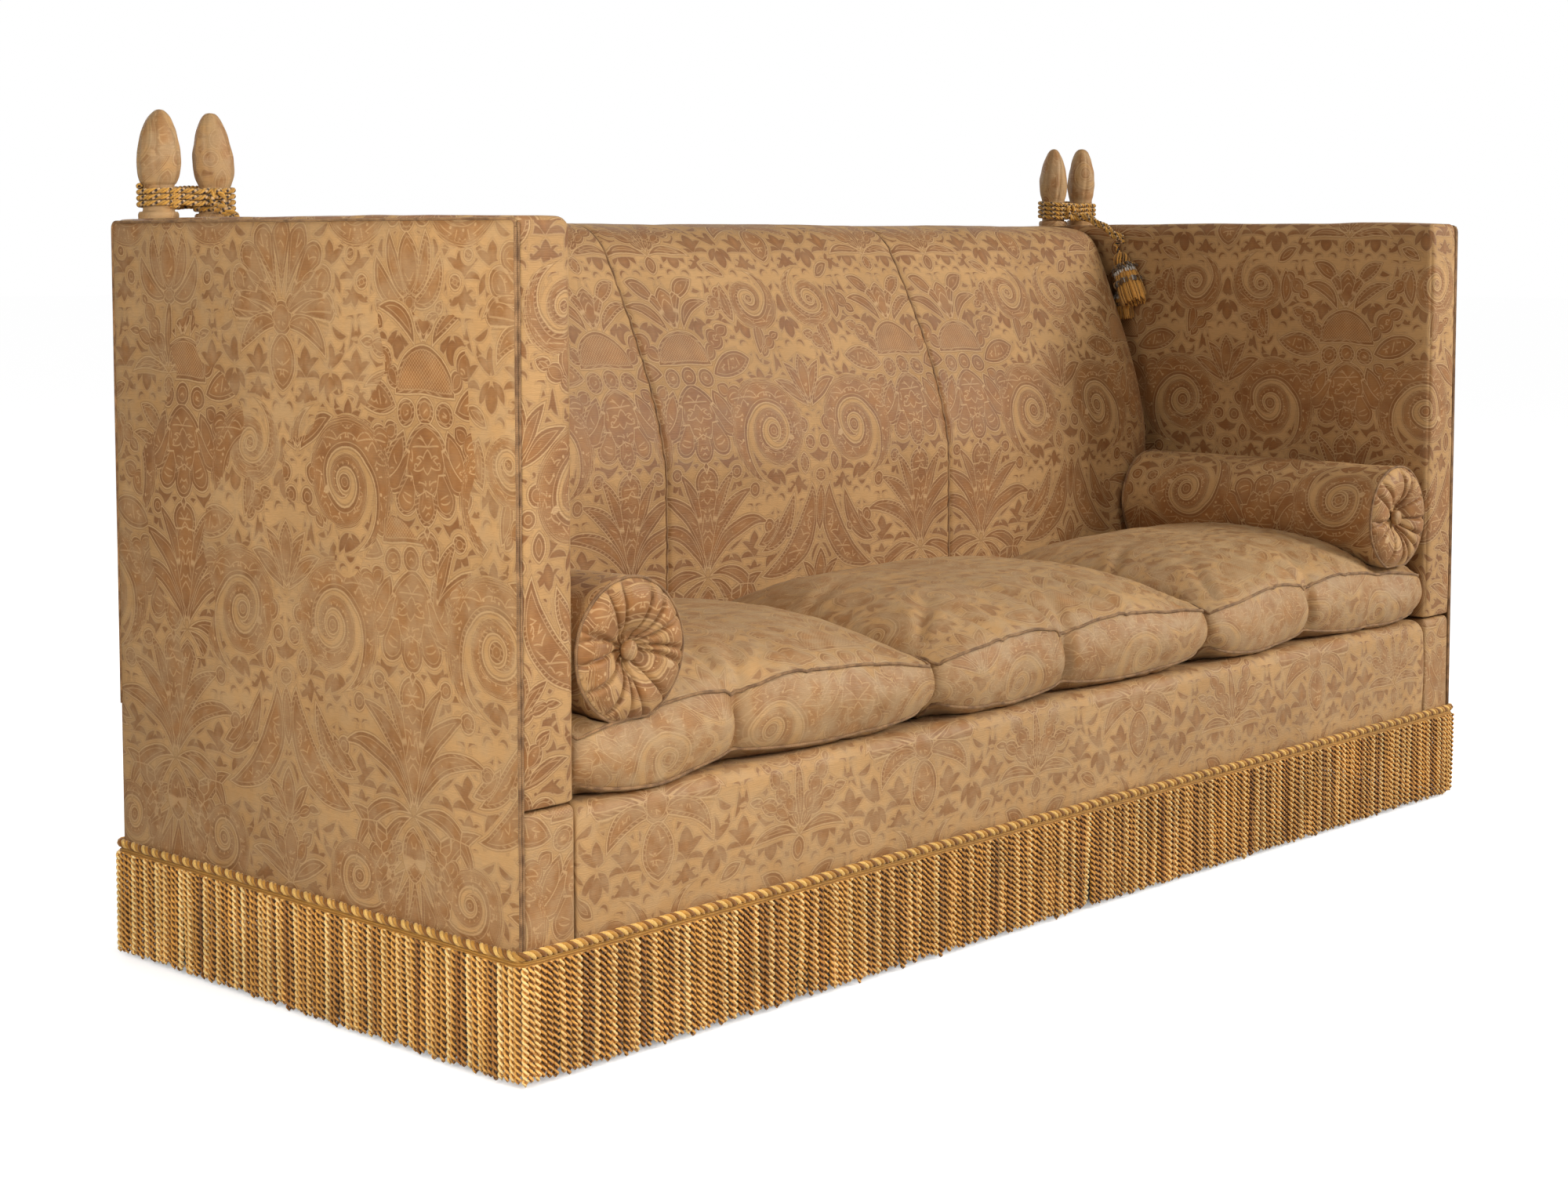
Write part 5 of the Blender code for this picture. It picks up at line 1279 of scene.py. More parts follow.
def build_cushion(word, middle_x, bolster_side, crease, folds):
    """A feather seat cushion: boxed and piped, crowned, creased down its front where its inner wall is sewn."""
    half_x = cushion_width / 2
    middle_y = -half_depth + cushion_half_depth
    nx, ny, nb = cushion_steps
    s, t = np.meshgrid(np.linspace(-1, 1, nx + 1), np.linspace(-1, 1, ny + 1), indexing="ij")

    def plan(inset):
        corner = np.abs(s) ** 10 * np.abs(t) ** 10
        draw_x = 0.006 * np.abs(s) ** 3 * (1 - t * t) * (1 - (bolster_side * s > 0))
        draw_y = 0.006 * np.abs(t) ** 3 * (1 - s * s)
        x = middle_x + s * (half_x - inset) - np.sign(s) * (draw_x + 0.012 * corner)
        y = middle_y + t * (cushion_half_depth - inset) - np.sign(t) * (draw_y + 0.012 * corner)
        return x, y

    crease_share = (crease - middle_x) / half_x
    near_crease = np.exp(-((s - crease_share) / 0.055) ** 2)
    wide_crease = np.exp(-((s - crease_share) / 0.16) ** 2)
    front = eased((-t - 0.55) / 0.45)
    x, y = plan(0.0)
    top = base_top + cushion_wall + cushion_dome * (1 - s * s * t * t)
    top += cushion_crown * (1 - s ** 4) * (1 - np.abs(t) ** 3)
    top -= 0.012 * wide_crease * front
    y = y + 0.007 * near_crease * eased((-t - 0.9) / 0.1)
    if bolster_side:
        away = np.abs(x - bolster_side * bolster_x)
        under = np.sqrt(np.maximum(0, (bolster_radius + 0.003) ** 2 - away ** 2))
        under = np.where(away < flat_reach, flat_drop + 0.0004, under)
        limit = bolster_height[bolster_side] - under
        top = np.where(away < bolster_radius + 0.002, np.minimum(top, limit - 0.0004), top)
    x_low, y_low = plan(0.005)
    lobes = np.abs(np.sin(np.pi * np.clip(np.where(
        s < crease_share, (s + 1) / (crease_share + 1), (1 - s) / (1 - crease_share)), 0, 1)))
    bottom = np.full_like(top, base_top)
    hang = eased((-t - 0.84) / 0.16)
    bottom += hang * (0.018 - 0.016 * lobes)
    y_low = y_low - 0.004 * hang * lobes + 0.005 * near_crease * hang
    bottom += 0.01 * eased((t - 0.9) / 0.1)
    bottom = np.maximum(bottom, seat_height_at(y_low) + 0.0008)

    size = (nx + 1) * (ny + 1)
    index = np.arange(size).reshape(nx + 1, ny + 1)
    rim = [(i, 0) for i in range(nx + 1)] + [(nx, j) for j in range(1, ny + 1)]
    rim += [(i, ny) for i in range(nx - 1, -1, -1)] + [(0, j) for j in range(ny - 1, 0, -1)]
    rim_i, rim_j = np.array(rim).T
    low_ring = np.stack([x_low, y_low, bottom], axis=-1)[rim_i, rim_j]
    top_ring = np.stack([x, y, top], axis=-1)[rim_i, rim_j]
    outward = np.roll(top_ring, -1, axis=0) - np.roll(top_ring, 1, axis=0)
    outward = unit(np.column_stack([outward[:, 1], -outward[:, 0], np.zeros(len(rim))]))
    s_rim, t_rim = s[rim_i, rim_j], t[rim_i, rim_j]
    is_front = eased((-t_rim - 0.86) / 0.14)
    bulge = 0.0015 + 0.014 * is_front * (1 - 0.35 * np.abs(s_rim) ** 4)
    bulge -= 0.017 * is_front * np.exp(-((s_rim - crease_share) / 0.03) ** 2)
    bulge += 0.002 * eased((t_rim - 0.9) / 0.1)
    border = []
    for k in range(1, nb):
        share = k / nb
        ring = low_ring * (1 - share) + top_ring * share
        ring = ring + outward * (bulge * math.sin(math.pi * share ** 0.9))[:, None]
        border.append(ring)
    points = np.concatenate([
        np.stack([x_low, y_low, bottom], axis=-1).reshape(-1, 3),
        np.stack([x, y, top], axis=-1).reshape(-1, 3),
        *border,
    ])
    i, j = (part.ravel() for part in np.meshgrid(np.arange(nx), np.arange(ny), indexing="ij"))
    quad = np.stack([index[i, j], index[i, j + 1], index[i + 1, j + 1], index[i + 1, j]], axis=1)
    faces = [quad, quad[:, ::-1] + size]
    count = len(rim)
    bands = [index[rim_i, rim_j]] + [2 * size + count * k + np.arange(count) for k in range(nb - 1)]
    bands.append(index[rim_i, rim_j] + size)
    for lower, upper in zip(bands, bands[1:]):
        faces.append(np.stack([lower, np.roll(lower, -1), np.roll(upper, -1), upper], axis=1))
    faces = np.concatenate(faces)

    points = points + swell(points, faces, 14, 0.011, word + "_swell")
    px, py, pz = points.T
    is_top = np.zeros(len(points), bool)
    is_top[size:2 * size] = True
    depth = fold_depths(px, py, folds) * (0.4 + 0.6 * eased((py + half_depth) / 0.035))
    fine = 0.002 * wander(points * (0.45, 2.4, 1.0), 0.028, 3.0 + middle_x)
    lumps = 0.0035 * wander(points, 0.13, 7.0 + middle_x)
    pz = np.where(is_top, pz - depth + fine + lumps, pz)
    if bolster_side:
        away = np.abs(px - bolster_side * bolster_x)
        clear = np.sqrt(np.maximum(0, (bolster_radius + 0.0015) ** 2 - away ** 2))
        clear = np.where(away < flat_reach, flat_drop, clear)
        limit = bolster_height[bolster_side] - clear - 0.0006
        pz = np.where((away < bolster_radius) & (pz > 0.4), np.minimum(pz, limit), pz)
    pz = np.maximum(pz, seat_height_at(py) + 0.0006)
    gap_side = half_x + 0.0011
    px = np.clip(px, middle_x - gap_side, middle_x + gap_side)
    py = np.minimum(py, back_front_y - 0.0075)
    points = np.stack([px, py, pz], axis=1)

    work = Workpiece()
    low_grid = points[:size].reshape(nx + 1, ny + 1, 3)
    top_grid = points[size:2 * size].reshape(nx + 1, ny + 1, 3)
    flat_x = middle_x + half_x * s
    flat_y = cushion_half_depth * t
    work.grid(low_grid, np.stack([flat_x, flat_y + 0.3], axis=-1))
    work.grid(top_grid, np.stack([flat_x, flat_y * crown_stretch], axis=-1))
    wall = np.concatenate([points[bands[0]][None], points[bands[1][0]:bands[-2][-1] + 1].reshape(nb - 1, count, 3),
                           points[bands[-1]][None]])
    rim_x = flat_x[rim_i, rim_j]
    rim_x = rim_x + np.sign(s_rim) * (np.abs(s_rim) > 0.999) * (flat_y[rim_i, rim_j] + cushion_half_depth)
    run = np.append(rim_x, rim_x[0])
    rise = np.linspace(-0.12, 0, nb + 1) - cushion_half_depth * crown_stretch
    wall_cloth = np.stack(np.broadcast_arrays(run[None, :], rise[:, None]), axis=-1)
    work.grid(wall, wall_cloth, around=True)
    body = word + "_cushion"
    settle(work.make(body + "_case", cushion_cover), body, "damask", body, fill=0.75)

    work = Workpiece()
    for band, lift in ((bands[0], 0.0006), (bands[-1], 0.0004)):
        loop = points[band] + outward * 0.0012
        loop[:, 2] += lift
        loop[:, 0] = np.clip(loop[:, 0], middle_x - gap_side + 0.001, middle_x + gap_side - 0.001)
        work.tube(loop, piping_radius, 8, closed=True)
    settle(work.make(body + "_piping", piping), body, "damask")


# Bolsters

button_radius = 0.0135
button_share = 0.145
piping_drop = 0.0875
pleats = 15


def build_bolster(side):
    """A round bolster with gathered ends, piped and buttoned, flattened where it lies on its cushion."""
    word = side_word(side)
    x, z = side * bolster_x, bolster_height[side]
    front = -half_depth + 0.006
    rear = back_front_y - 0.012
    segments = 182
    turns = ring_angles(segments)
    seed = 40.0 + side
    out_x, out_z = np.cos(turns), np.sin(turns)
    limit = inner_x - 0.0006

    def section(y, wide):
        ring = np.stack([out_x, np.full(segments, y * 4.0), out_z], axis=-1)
        uneven = 1 - 0.014 * (1 + wander(ring, 0.8, seed))
        radius = bolster_radius * wide * uneven
        points = np.stack([x + radius * out_x, np.full(segments, y), z + radius * out_z], axis=-1)
        points[:, 2] = np.maximum(points[:, 2], z - flat_drop)
        points[:, 0] = np.clip(points[:, 0], -limit, limit)
        return points

    ys = spaced(front, rear, 0.01, 0.01, 0.01)
    rings = []
    for y in ys:
        edge = min(y - front, rear - y) / 0.01
        rings.append(section(y, 0.985 + 0.015 * float(eased(edge))))
    work = Workpiece()
    rings = np.array(rings)
    rings += 0.0012 * wander(rings, 0.05, seed + 3)[..., None] * np.stack([out_x, 0 * out_x, out_z], axis=-1)
    rings[..., 2] = np.maximum(rings[..., 2], z - flat_drop)
    rings[..., 0] = np.clip(rings[..., 0], -limit, limit)
    round_run = np.append(turns, 2 * np.pi) * bolster_radius
    cloth = np.stack(np.broadcast_arrays(ys[:, None] + 0.2, round_run[None, :] + 0.25), axis=-1)
    work.grid(rings, cloth, around=True)

    jitter = np.array([noise.noise((k * 3.7, seed, 0.5)) for k in range(pleats)])
    lines = (np.arange(pleats) + 0.75 * jitter) * 2 * np.pi / pleats
    for end, outward in ((0, -1), (-1, 1)):
        edge_ring = rings[end]
        centre = np.array((x, edge_ring[0, 1], z))
        caps, cap_cloth = [], []
        for share in np.concatenate([np.linspace(1.0, 0.9, 4)[1:], np.linspace(0.88, button_share, 26)]):
            bend = lines + 0.34 * (1 - share) * np.sin(5.0 * np.arange(pleats) + seed)
            apart = angles_apart(turns[:, None], bend[None, :])
            nearest = apart.min(axis=1) * share * bolster_radius
            soft = 0.0012 + 0.0022 * share
            rise = 1 - np.exp(-(nearest / soft) ** 1.3)
            swell_here = math.sin(math.pi * min(1, (1 - share) / (1 - button_share) * 1.15) ** 0.75)
            depth = 0.42 + 0.58 * rise
            reach = 0.015 * swell_here * depth - 0.0065 * (1 - rise) * (1 - share) ** 0.4
            sink = 0.008 * float(eased((0.42 - share) / 0.3))
            ring = centre + (edge_ring - centre) * share
            ring[:, 1] += outward * (reach - sink)
            caps.append(ring)
            flat = np.stack([x * 0.4 + (ring[:, 0] - x), ring[:, 2]], axis=-1)
            cap_cloth.append(np.concatenate([flat, flat[:1]]))
        centre_ring = np.broadcast_to(centre + (0, outward * -0.006, 0), (segments, 3))
        caps = np.array([edge_ring] + caps + [centre_ring])
        cap_cloth = np.array(cap_cloth[:1] + cap_cloth + cap_cloth[-1:])
        work.grid(caps, cap_cloth, around=True)
    body = word + "_bolster"
    settle(work.make(word + "_bolster_case", cover), body, "damask", body, fill=0.85)

    work = Workpiece()
    for end, outward in ((0, -1), (-1, 1)):
        loop = rings[end].copy()
        loop[:, 1] += outward * 0.0006
        loop[:, [0, 2]] += (loop[:, [0, 2]] - (x, z)) * 0.006
        loop[:, 0] = np.clip(loop[:, 0], -inner_x + 0.003, inner_x - 0.003)
        loop[:, 2] = np.maximum(loop[:, 2], z - piping_drop)
        work.tube(loop, piping_radius, 8, closed=True)
    settle(work.make(word + "_bolster_piping", piping), body, "damask")

    for row, end, outward in (("front", 0, -1), ("rear", -1, 1)):
        profile = smooth_path([(0.0, -0.007), (0.8, -0.007), (0.98, -0.003), (1.0, 0.0005), (0.9, 0.0035),
                               (0.62, 0.0058), (0.3, 0.0068), (0.0, 0.0072)], 20)
        small = ring_angles(36)
        shell = []
        for wide, up in profile:
            radius = button_radius * max(0.0, wide)
            y = np.full(len(small), rings[end][0, 1] + outward * up)
            shell.append(np.stack([x + radius * 0.88 * np.cos(small), y, z + radius * np.sin(small)], axis=-1))
        shell = np.array(shell)
        shell += 0.0004 * wander(shell, 0.006, seed)[..., None]
        button = Workpiece()
        button.grid(shell, joined_round(shell[..., [0, 2]]), around=True)
        settle(button.make(f"{word}_bolster_{row}_button_cover", cushion_cover), body, "damask",
               f"{word}_bolster_{row}_button")


# Finials

neck_height = 0.04
bud_radius = 0.03
bud_height = 0.106


def build_finial(side, kind, size, lean):
    """A turned bud covered in gathered cloth, on a neck and a collar."""
    x = arm_finial_x if kind == "arm" else back_finial_x
    foot = arm_top + touch_gap if kind == "arm" else back_top
    neck = foot + 0.011
    body = neck + neck_height
    shares = [(0.82, 0.02), (0.94, 0.13), (1.0, 0.29), (0.98, 0.44), (0.88, 0.6), (0.72, 0.76), (0.54, 0.88)]
    profile = [(0.0, foot), (0.026, foot), (0.0285, foot + 0.003), (0.0285, foot + 0.008), (0.0265, neck),
               (0.0225, neck + 0.0015), (0.0222, neck + 0.02), (0.0225, body - 0.003)]
    profile += [(bud_radius * size * wide, body + bud_height * up) for wide, up in shares]
    profile += [(0.0105, body + 0.1015), (0.0055, body + 0.1056), (0.0, body + 0.1068)]
    dense = smooth_path(profile, 84)
    dense[:, 0] = np.maximum(dense[:, 0], 0)
    turns = ring_angles(72)
    seed = 50 + 3 * side + (1 if kind == "arm" else 0)
    rings = []
    for radius, z in dense:
        up = (z - body) / bud_height
        above = float(eased(up / 0.12))
        folds = 0.0
        for k in range(6):
            line = 2 * np.pi * (k + 0.5 * noise.noise((k * 2.3, seed, 0.1))) / 6 + 0.35 * max(0.0, up)
            apart = angles_apart(turns, line)
            deep = 0.35 + 0.9 * abs(noise.noise((k * 5.1, seed, 2.0)))
            folds = folds + deep * np.exp(-(apart / 0.1) ** 2) - 0.4 * deep * np.exp(-((apart - 0.22) / 0.16) ** 2)
        crease = 1 - 0.085 * folds * above - 0.03 * folds * (1 - above)
        tilt = lean * max(0.0, up)
        rings.append(np.stack([x + tilt + radius * crease * np.cos(turns), finial_y + radius * crease * np.sin(turns),
                               np.full(len(turns), z)], axis=-1))
    rings = np.array(rings)
    bump = 0.001 * wander(rings, 0.018, seed) + 0.0016 * wander(rings, 0.05, seed + 4)
    outward = unit((rings - (x, finial_y, 0)) * (1, 1, 0))
    keep = (dense[:, 0] > 0.0005)[:, None]
    rings = rings + outward * (bump * keep * (dense[:, 1] > neck)[:, None])[..., None]
    run = np.append(turns, 2 * np.pi) * bud_radius
    cloth = np.stack(np.broadcast_arrays(run[None, :] + 0.07 * seed, dense[:, 1][:, None] + 0.23), axis=-1)
    work = Workpiece()
    work.grid(rings, cloth, around=True)
    word = side_word(side)
    name = f"{word}_{kind}_finial"
    piece = work.make(name + "_cover", faded_and_lit_finial_cover, mirror=side < 0)
    settle(piece, word + "_arm" if kind == "arm" else "base", "damask", name)


# Rope

rope_radius = 0.004
rope_reach = 0.0225 + rope_radius + 0.0006
rope_low = 1.0926
rope_lead = 0.009
rope_turns = 4
rope_points_a_turn = 24
rope_half_turn = rope_points_a_turn // 2
rope_turn_pitch = 0.0088
rope_pitch = 0.021
rope_shades = (0.0, -1, 0.12)
rope_step = 0.0016

knot_radius = 0.009
tassel_crown_radius = 0.0055

# The tail's own path, from the end of the winding
tail_route = (
    (0.0, 0.0, 0.0),
    (0.009, -0.001, -0.0004),
    (0.017, -0.008, -0.001),
    (0.0215, -0.022, -0.002),
    (0.023, -0.042, -0.006),
    (0.023, -0.064, -0.015),
    (0.0225, -0.087, -0.027),
    (0.0215, -0.109, -0.039),
    (0.0205, -0.129, -0.05),
)


def winding_points():
    """The winding on the right, as the frame has it: its points, and which neck each goes round."""
    points, owners = [], []
    for i in range(rope_half_turn // 2, rope_turns * rope_points_a_turn):
        turn, step = i / rope_points_a_turn, i % rope_points_a_turn
        on_arm = step < rope_half_turn
        share = (step % rope_half_turn) / (rope_half_turn - 1)
        angle = -math.pi / 2 + math.pi * share + (0 if on_arm else math.pi)
        height = rope_low + rope_turn_pitch * (rope_turns - turn)
        centre = arm_finial_x if on_arm else back_finial_x
        points.append((centre + rope_reach * math.cos(angle), finial_y + rope_reach * math.sin(angle), height))
        owners.append(on_arm)
    return np.array(points), owners


def lay_rope(work, points, start=0.0):
    """A three-strand rope along a path."""
    path = even_path(smooth_path(points, max(8, len(points) * 6)), rope_step)
    work.twist(path, rope_radius, rope_pitch, rope_shades, 7, start=start)


def build_rope(side):
    """The rope round both necks: the arm's turns go with the arm, and the bridges stay with the base."""
    word = side_word(side)
    points, owners = winding_points()
    runs, current = [], [0]
    for i in range(1, len(points)):
        if owners[i] != owners[i - 1]:
            runs.append(current)
            current = []
        current.append(i)
    runs.append(current)
    on_arm, on_back, bridges = Workpiece(), Workpiece(), Workpiece()
    for run in runs:
        arc = points[run]
        centre = arm_finial_x if owners[run[0]] else back_finial_x
        turned = on_arm if owners[run[0]] else on_back
        lay_rope(turned, arc)
        if len(run) < rope_half_turn:
            continue
        # The other half of each turn, on the side that faces the second neck
        far = 1 if owners[run[0]] else -1
        closing = []
        for share in np.linspace(0.06, 0.94, 9):
            angle = -math.pi / 2 + math.pi * share + (0 if far < 0 else math.pi)
            place = (centre + rope_reach * math.cos(angle), finial_y + rope_reach * math.sin(angle))
            closing.append((*place, arc[0][2] + (arc[-1][2] - arc[0][2]) * (1 - share) - rope_turn_pitch * 0.5 * share))
        lay_rope(turned, np.array(closing), 1.0)
    for before, after in zip(runs, runs[1:]):
        a, b = points[before[-1]], points[after[0]]
        middle = (a + b) / 2
        middle[2] -= 0.0015
        middle[1] += 0.0015 if middle[1] > finial_y else -0.0015
        lay_rope(bridges, np.array([a, a * 0.72 + b * 0.28, middle, a * 0.28 + b * 0.72, b]), 2.0)
    mirror = side < 0
    node = word + "_rope_winding"
    settle(on_arm.make(word + "_rope_turns_on_arm", rope_thread, mirror), word + "_arm", "rope_cord")
    settle(on_back.make(word + "_rope_turns_on_back", rope_thread, mirror), "base", "rope_cord", node)
    piece = settle(bridges.make(word + "_rope_bridges", rope_thread, mirror), "base", "rope_cord")
    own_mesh(piece)

    lead = points[-1] + (rope_lead, 0, 0) + (touch_gap, 0, 0)
    tail_points = lead + np.array(tail_route)
    path = smooth_path(tail_points, 22)
    hitch = Workpiece()
    lay_rope(hitch, np.array([points[-1], (points[-1] + lead) / 2, lead - (0.0006, 0, 0)]))
    loop = []
    for t in np.linspace(-0.4, 2 * math.pi - 1.2, 16):
        loop.append((back_finial_x + 0.017 + 0.01 * math.cos(t), finial_y - rope_reach - 0.0075 + 0.004 * math.sin(t),
                     rope_low + 0.012 + 0.015 * math.sin(t)))
    lay_rope(hitch, np.array(loop), 0.5)
    tail = Workpiece()
    tail_path = even_path(smooth_path(tail_points, 160), rope_step)
    weave = 0.0038 * np.sin(run_lengths(tail_path) * 2 * math.pi / 0.045)
    # Two more lengths of the rope lie beside the tail and weave round it
    for out_x, up, swing_x, swing_z in ((-0.0074, 0.0022, 0.0, 0.8), (-0.001, 0.0076, 1.0, 0.2)):
        beside = tail_path + np.column_stack([out_x + swing_x * weave, 0 * weave, up + swing_z * weave])
        hitch.twist(beside[3:-3], rope_radius, rope_pitch, rope_shades, 7, start=up * 500)
    settle(hitch.make(word + "_rope_hitch", rope_thread, mirror), "base", "rope_cord")
    tail.twist(tail_path, rope_radius, rope_pitch, rope_shades, 7)
    tail_piece = tail.make(word + "_tail_rope", rope_thread, mirror)
    length = float(run_lengths(tail_path)[-1])
    settle(tail_piece, "base", "rope_cord", word + "_rope_tail")
    knot = build_tassels(side, path)


def wrapped_knot(work, centre, radius, seed, shades):
    """A knot of rope: loops of it wound over one another."""
    for k, shade in enumerate(shades):
        tilt = math.pi * k / len(shades)
        axis_a = unit(np.array((math.cos(tilt), math.sin(tilt), 0.35 * math.sin(seed + k))))
        axis_b = unit(np.cross(axis_a, (0.2, 0.3, 1.0)))
        turns = np.linspace(0, 2 * np.pi, 28, endpoint=False)
        ring = centre + radius * (np.cos(turns)[:, None] * axis_a + np.sin(turns)[:, None] * axis_b)
        work.twist(ring, 0.0034, 0.014, (shade, 0.5, 1.0), 6, closed=True, start=k)


def build_tassels(side, path):
    """Two tassels on short cords under the knot at the end of the rope."""
    word = side_word(side)
    run = unit(path[-2] - path[-3])
    knot = (path[-2] + path[-3]) / 2
    under = unit(run * run[2] - np.array((0, 0, 1.0)))
    crown = knot + under * (knot_radius + tassel_crown_radius + 0.0001)
    work = Workpiece()
    wrapped_knot(work, knot, 0.0052, 1.0, (0.0, 1.0, 0.0))
    wrapped_knot(work, crown + (0, 0, 0.002), 0.0034, 2.0, (0.0, 0.0))
    knot_piece = settle(work.make(word + "_tail_knot", rope_thread, side < 0), "base", "rope_cord")
    for row, (hang, size) in enumerate((((-0.013, -0.056, -0.116), 1.0), ((0.0, -0.024, -0.148), 0.66))):
        tassel = one_tassel(side, row, crown, crown + np.array(hang), size)
        if row == 0:
            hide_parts(word + "_tassels")
    return knot_piece


def one_tassel(side, row, crown, bottom, size):
    """A tassel: a cord, a netted head, dark ruffs, a pale tuft and a full skirt of twisted threads."""
    length = float(np.linalg.norm(bottom - crown))
    axis = unit(bottom - crown)
    across = unit(np.cross(axis, (1.0, 0.2, 0.0)))
    over = np.cross(axis, across)
    random = np.random.default_rng(17 + row)
    skirt_top = length - 0.08 * size
    head = 0.017 * size
    full = 0.0238 * size
    top = skirt_top - head * 1.9
    work = Workpiece()
    cord = np.array([crown + axis * d for d in np.linspace(0.002, top + head * 0.2, 24)])
    work.twist(cord, 0.0038, 0.013, (0.0, 0.5), 6)

    def place(reach, down, angle):
        return crown + axis * down + reach * (math.cos(angle) * across + math.sin(angle) * over)

    def threads(count, route, thick, shade, uneven):
        """Threads side by side round the axis, each along a route of (reach, down)."""
        for k in range(count):
            angle = 2 * math.pi * (k + 0.6 * random.random()) / count
            wide, long, turn = 1 + uneven * random.standard_normal(3) * (1.0, 0.7, 0.4)
            path = [place(reach * wide, route[0][1] + (down - route[0][1]) * long, angle + 0.25 * (turn - 1) * i)
                    for i, (reach, down) in enumerate(route)]
            path = smooth_path(path, 4 * len(route))
            taper = np.concatenate([np.ones(len(path) - 2), [0.85, 0.3]])
            work.tube(path, thick * taper, 5, float(np.clip(shade + 0.12 * random.standard_normal(), 0, 1)))

    ball = np.linspace(0.12, math.pi - 0.12, 9)
    for k in range(14):
        lean = 2 * math.pi * k / 14
        route = [place(head * 0.86 * math.sin(a), top + head * (1 - math.cos(a)), lean + 0.5 * a) for a in ball]
        work.tube(smooth_path(route, 22), 0.0021 * size, 6, 0.06 + 0.3 * (k % 3 == 0))
    for k in range(2):
        low = top + head * (1.7 + 0.42 * k)
        wide = head * (1.22 + 0.2 * k)
        threads(34, [(head * 0.3, low), (wide * 0.7, low - 0.002 * size), (wide, low + 0.001 * size),
                     (wide * 0.98, low + 0.005 * size)], 0.0018 * size, 0.5, 0.08)
    low = skirt_top + 0.003 * size
    threads(26, [(head * 0.3, low), (full * 0.62, low), (full * 0.88, low + 0.005 * size),
                 (full * 0.9, low + 0.013 * size)], 0.0022 * size, 0.95, 0.1)
    skirt = ((0.66, 0.004), (0.86, 0.02), (0.96, 0.042), (1.0, 0.064))
    for inner, count in ((0.62, 20), (1.0, 40)):
        route = [(head * 0.3, skirt_top)]
        route += [(full * wide * inner, skirt_top + down * size) for wide, down in skirt]
        route.append((full * 0.94 * inner, length - 0.002 * size))
        threads(count, route, 0.0021 * size, 0.06, 0.05)
    low = skirt_top + 0.03 * size
    threads(34, [(full * 0.7, low), (full * 1.02, low - 0.001 * size), (full * 1.12, low + 0.004 * size),
                 (full * 1.06, low + 0.01 * size)], 0.0018 * size, 0.5, 0.07)
    name = f"{side_word(side)}_{('long', 'short')[row]}_tassel"
    return settle(work.make(name, tassel_thread, side < 0), "base", "tassel_silk")


# Heading and fringe

heading_radius = 0.0064
band_height = 0.01


def round_the_base(reach, corner, step):
    """A path once round the base at a distance outside it, with rounded corners; closed."""
    points = []
    for sign_x, sign_y, start in ((1, -1, -90), (1, 1, 0), (-1, 1, 90), (-1, -1, 180)):
        centre_x, centre_y = sign_x * (half_length - corner), sign_y * (half_depth - corner)
        for degrees in np.linspace(start, start + 90, 8):
            angle = math.radians(degrees)
            points.append((centre_x + (corner + reach) * math.cos(angle),
                           centre_y + (corner + reach) * math.sin(angle), 0.0))
    points.append(points[0])
    return even_path(np.array(points), step)[:-1]


def build_heading():
    """The heading of the fringe: a twisted cord over a narrow woven band."""
    path = round_the_base(touch_gap + heading_radius, 0.006, 0.003)
    path[:, 2] = heading_top - heading_radius + 0.0012 * wander(path, 0.12, 61.0)
    work = Workpiece()
    work.twist(path, heading_radius, 0.026, (0.0, 0.55, 1.0), 7, closed=True)
    settle(work.make("heading_cord", heading_thread), "base", "gold_cord", "fringe_heading")
    path = round_the_base(0.0, 0.006, 0.0045)
    run = run_lengths(path)
    ahead = unit(np.roll(path, -1, axis=0) - np.roll(path, 1, axis=0))
    outward = np.column_stack([ahead[:, 1], -ahead[:, 0], np.zeros(len(path))])
    middle = heading_top - 2 * heading_radius - 0.003
    section = [(0.0012, 0.5), (0.0062, 0.48), (0.009, 0.36), (0.0072, 0.22), (0.0094, 0.06),
               (0.0076, -0.1), (0.0096, -0.24), (0.0086, -0.4), (0.006, -0.5), (0.0012, -0.52)]
    rows = []
    for out, up in section:
        chain = 0.0007 * np.sin(run * 2 * np.pi / 0.0052 + 9 * up)
        place = path + outward * (out + chain * (out > 0.002))[:, None]
        place[:, 2] = middle + band_height * up + 0.0008 * wander(path, 0.1, 63.0)
        rows.append(place)
    rows = joined_round(np.array(rows))
    rows = np.concatenate([rows, rows[:1]])
    # Pale on the ribs that stand out and dark in the hollows between them, palest on the top rib: painted light and
    # painted shade
    shade = np.array([0.1, 0.3, 0.8, 0.2, 0.7, 0.1, 0.6, 0.3, 0.1, 0.1, 0.1])[:, None]
    work = Workpiece()
    work.grid(rows, np.zeros((len(rows), rows.shape[1], 2)), shade)
    settle(work.make("heading_band", heading_thread), "base", "gold_cord")


fringe_pitch = 0.01
fringe_radius = 0.0051
fringe_gap = 0.0033
fringe_lay = 0.0178
fringe_top = 0.1555
fringe_rows = 64
fringe_cords_in_piece = 110
fringe_slit = 0.0018
# A strand's middle is this far from its cord's, and it is this deep and this wide
strand_out, strand_deep, strand_wide = 0.0027, 0.0025, 0.0028


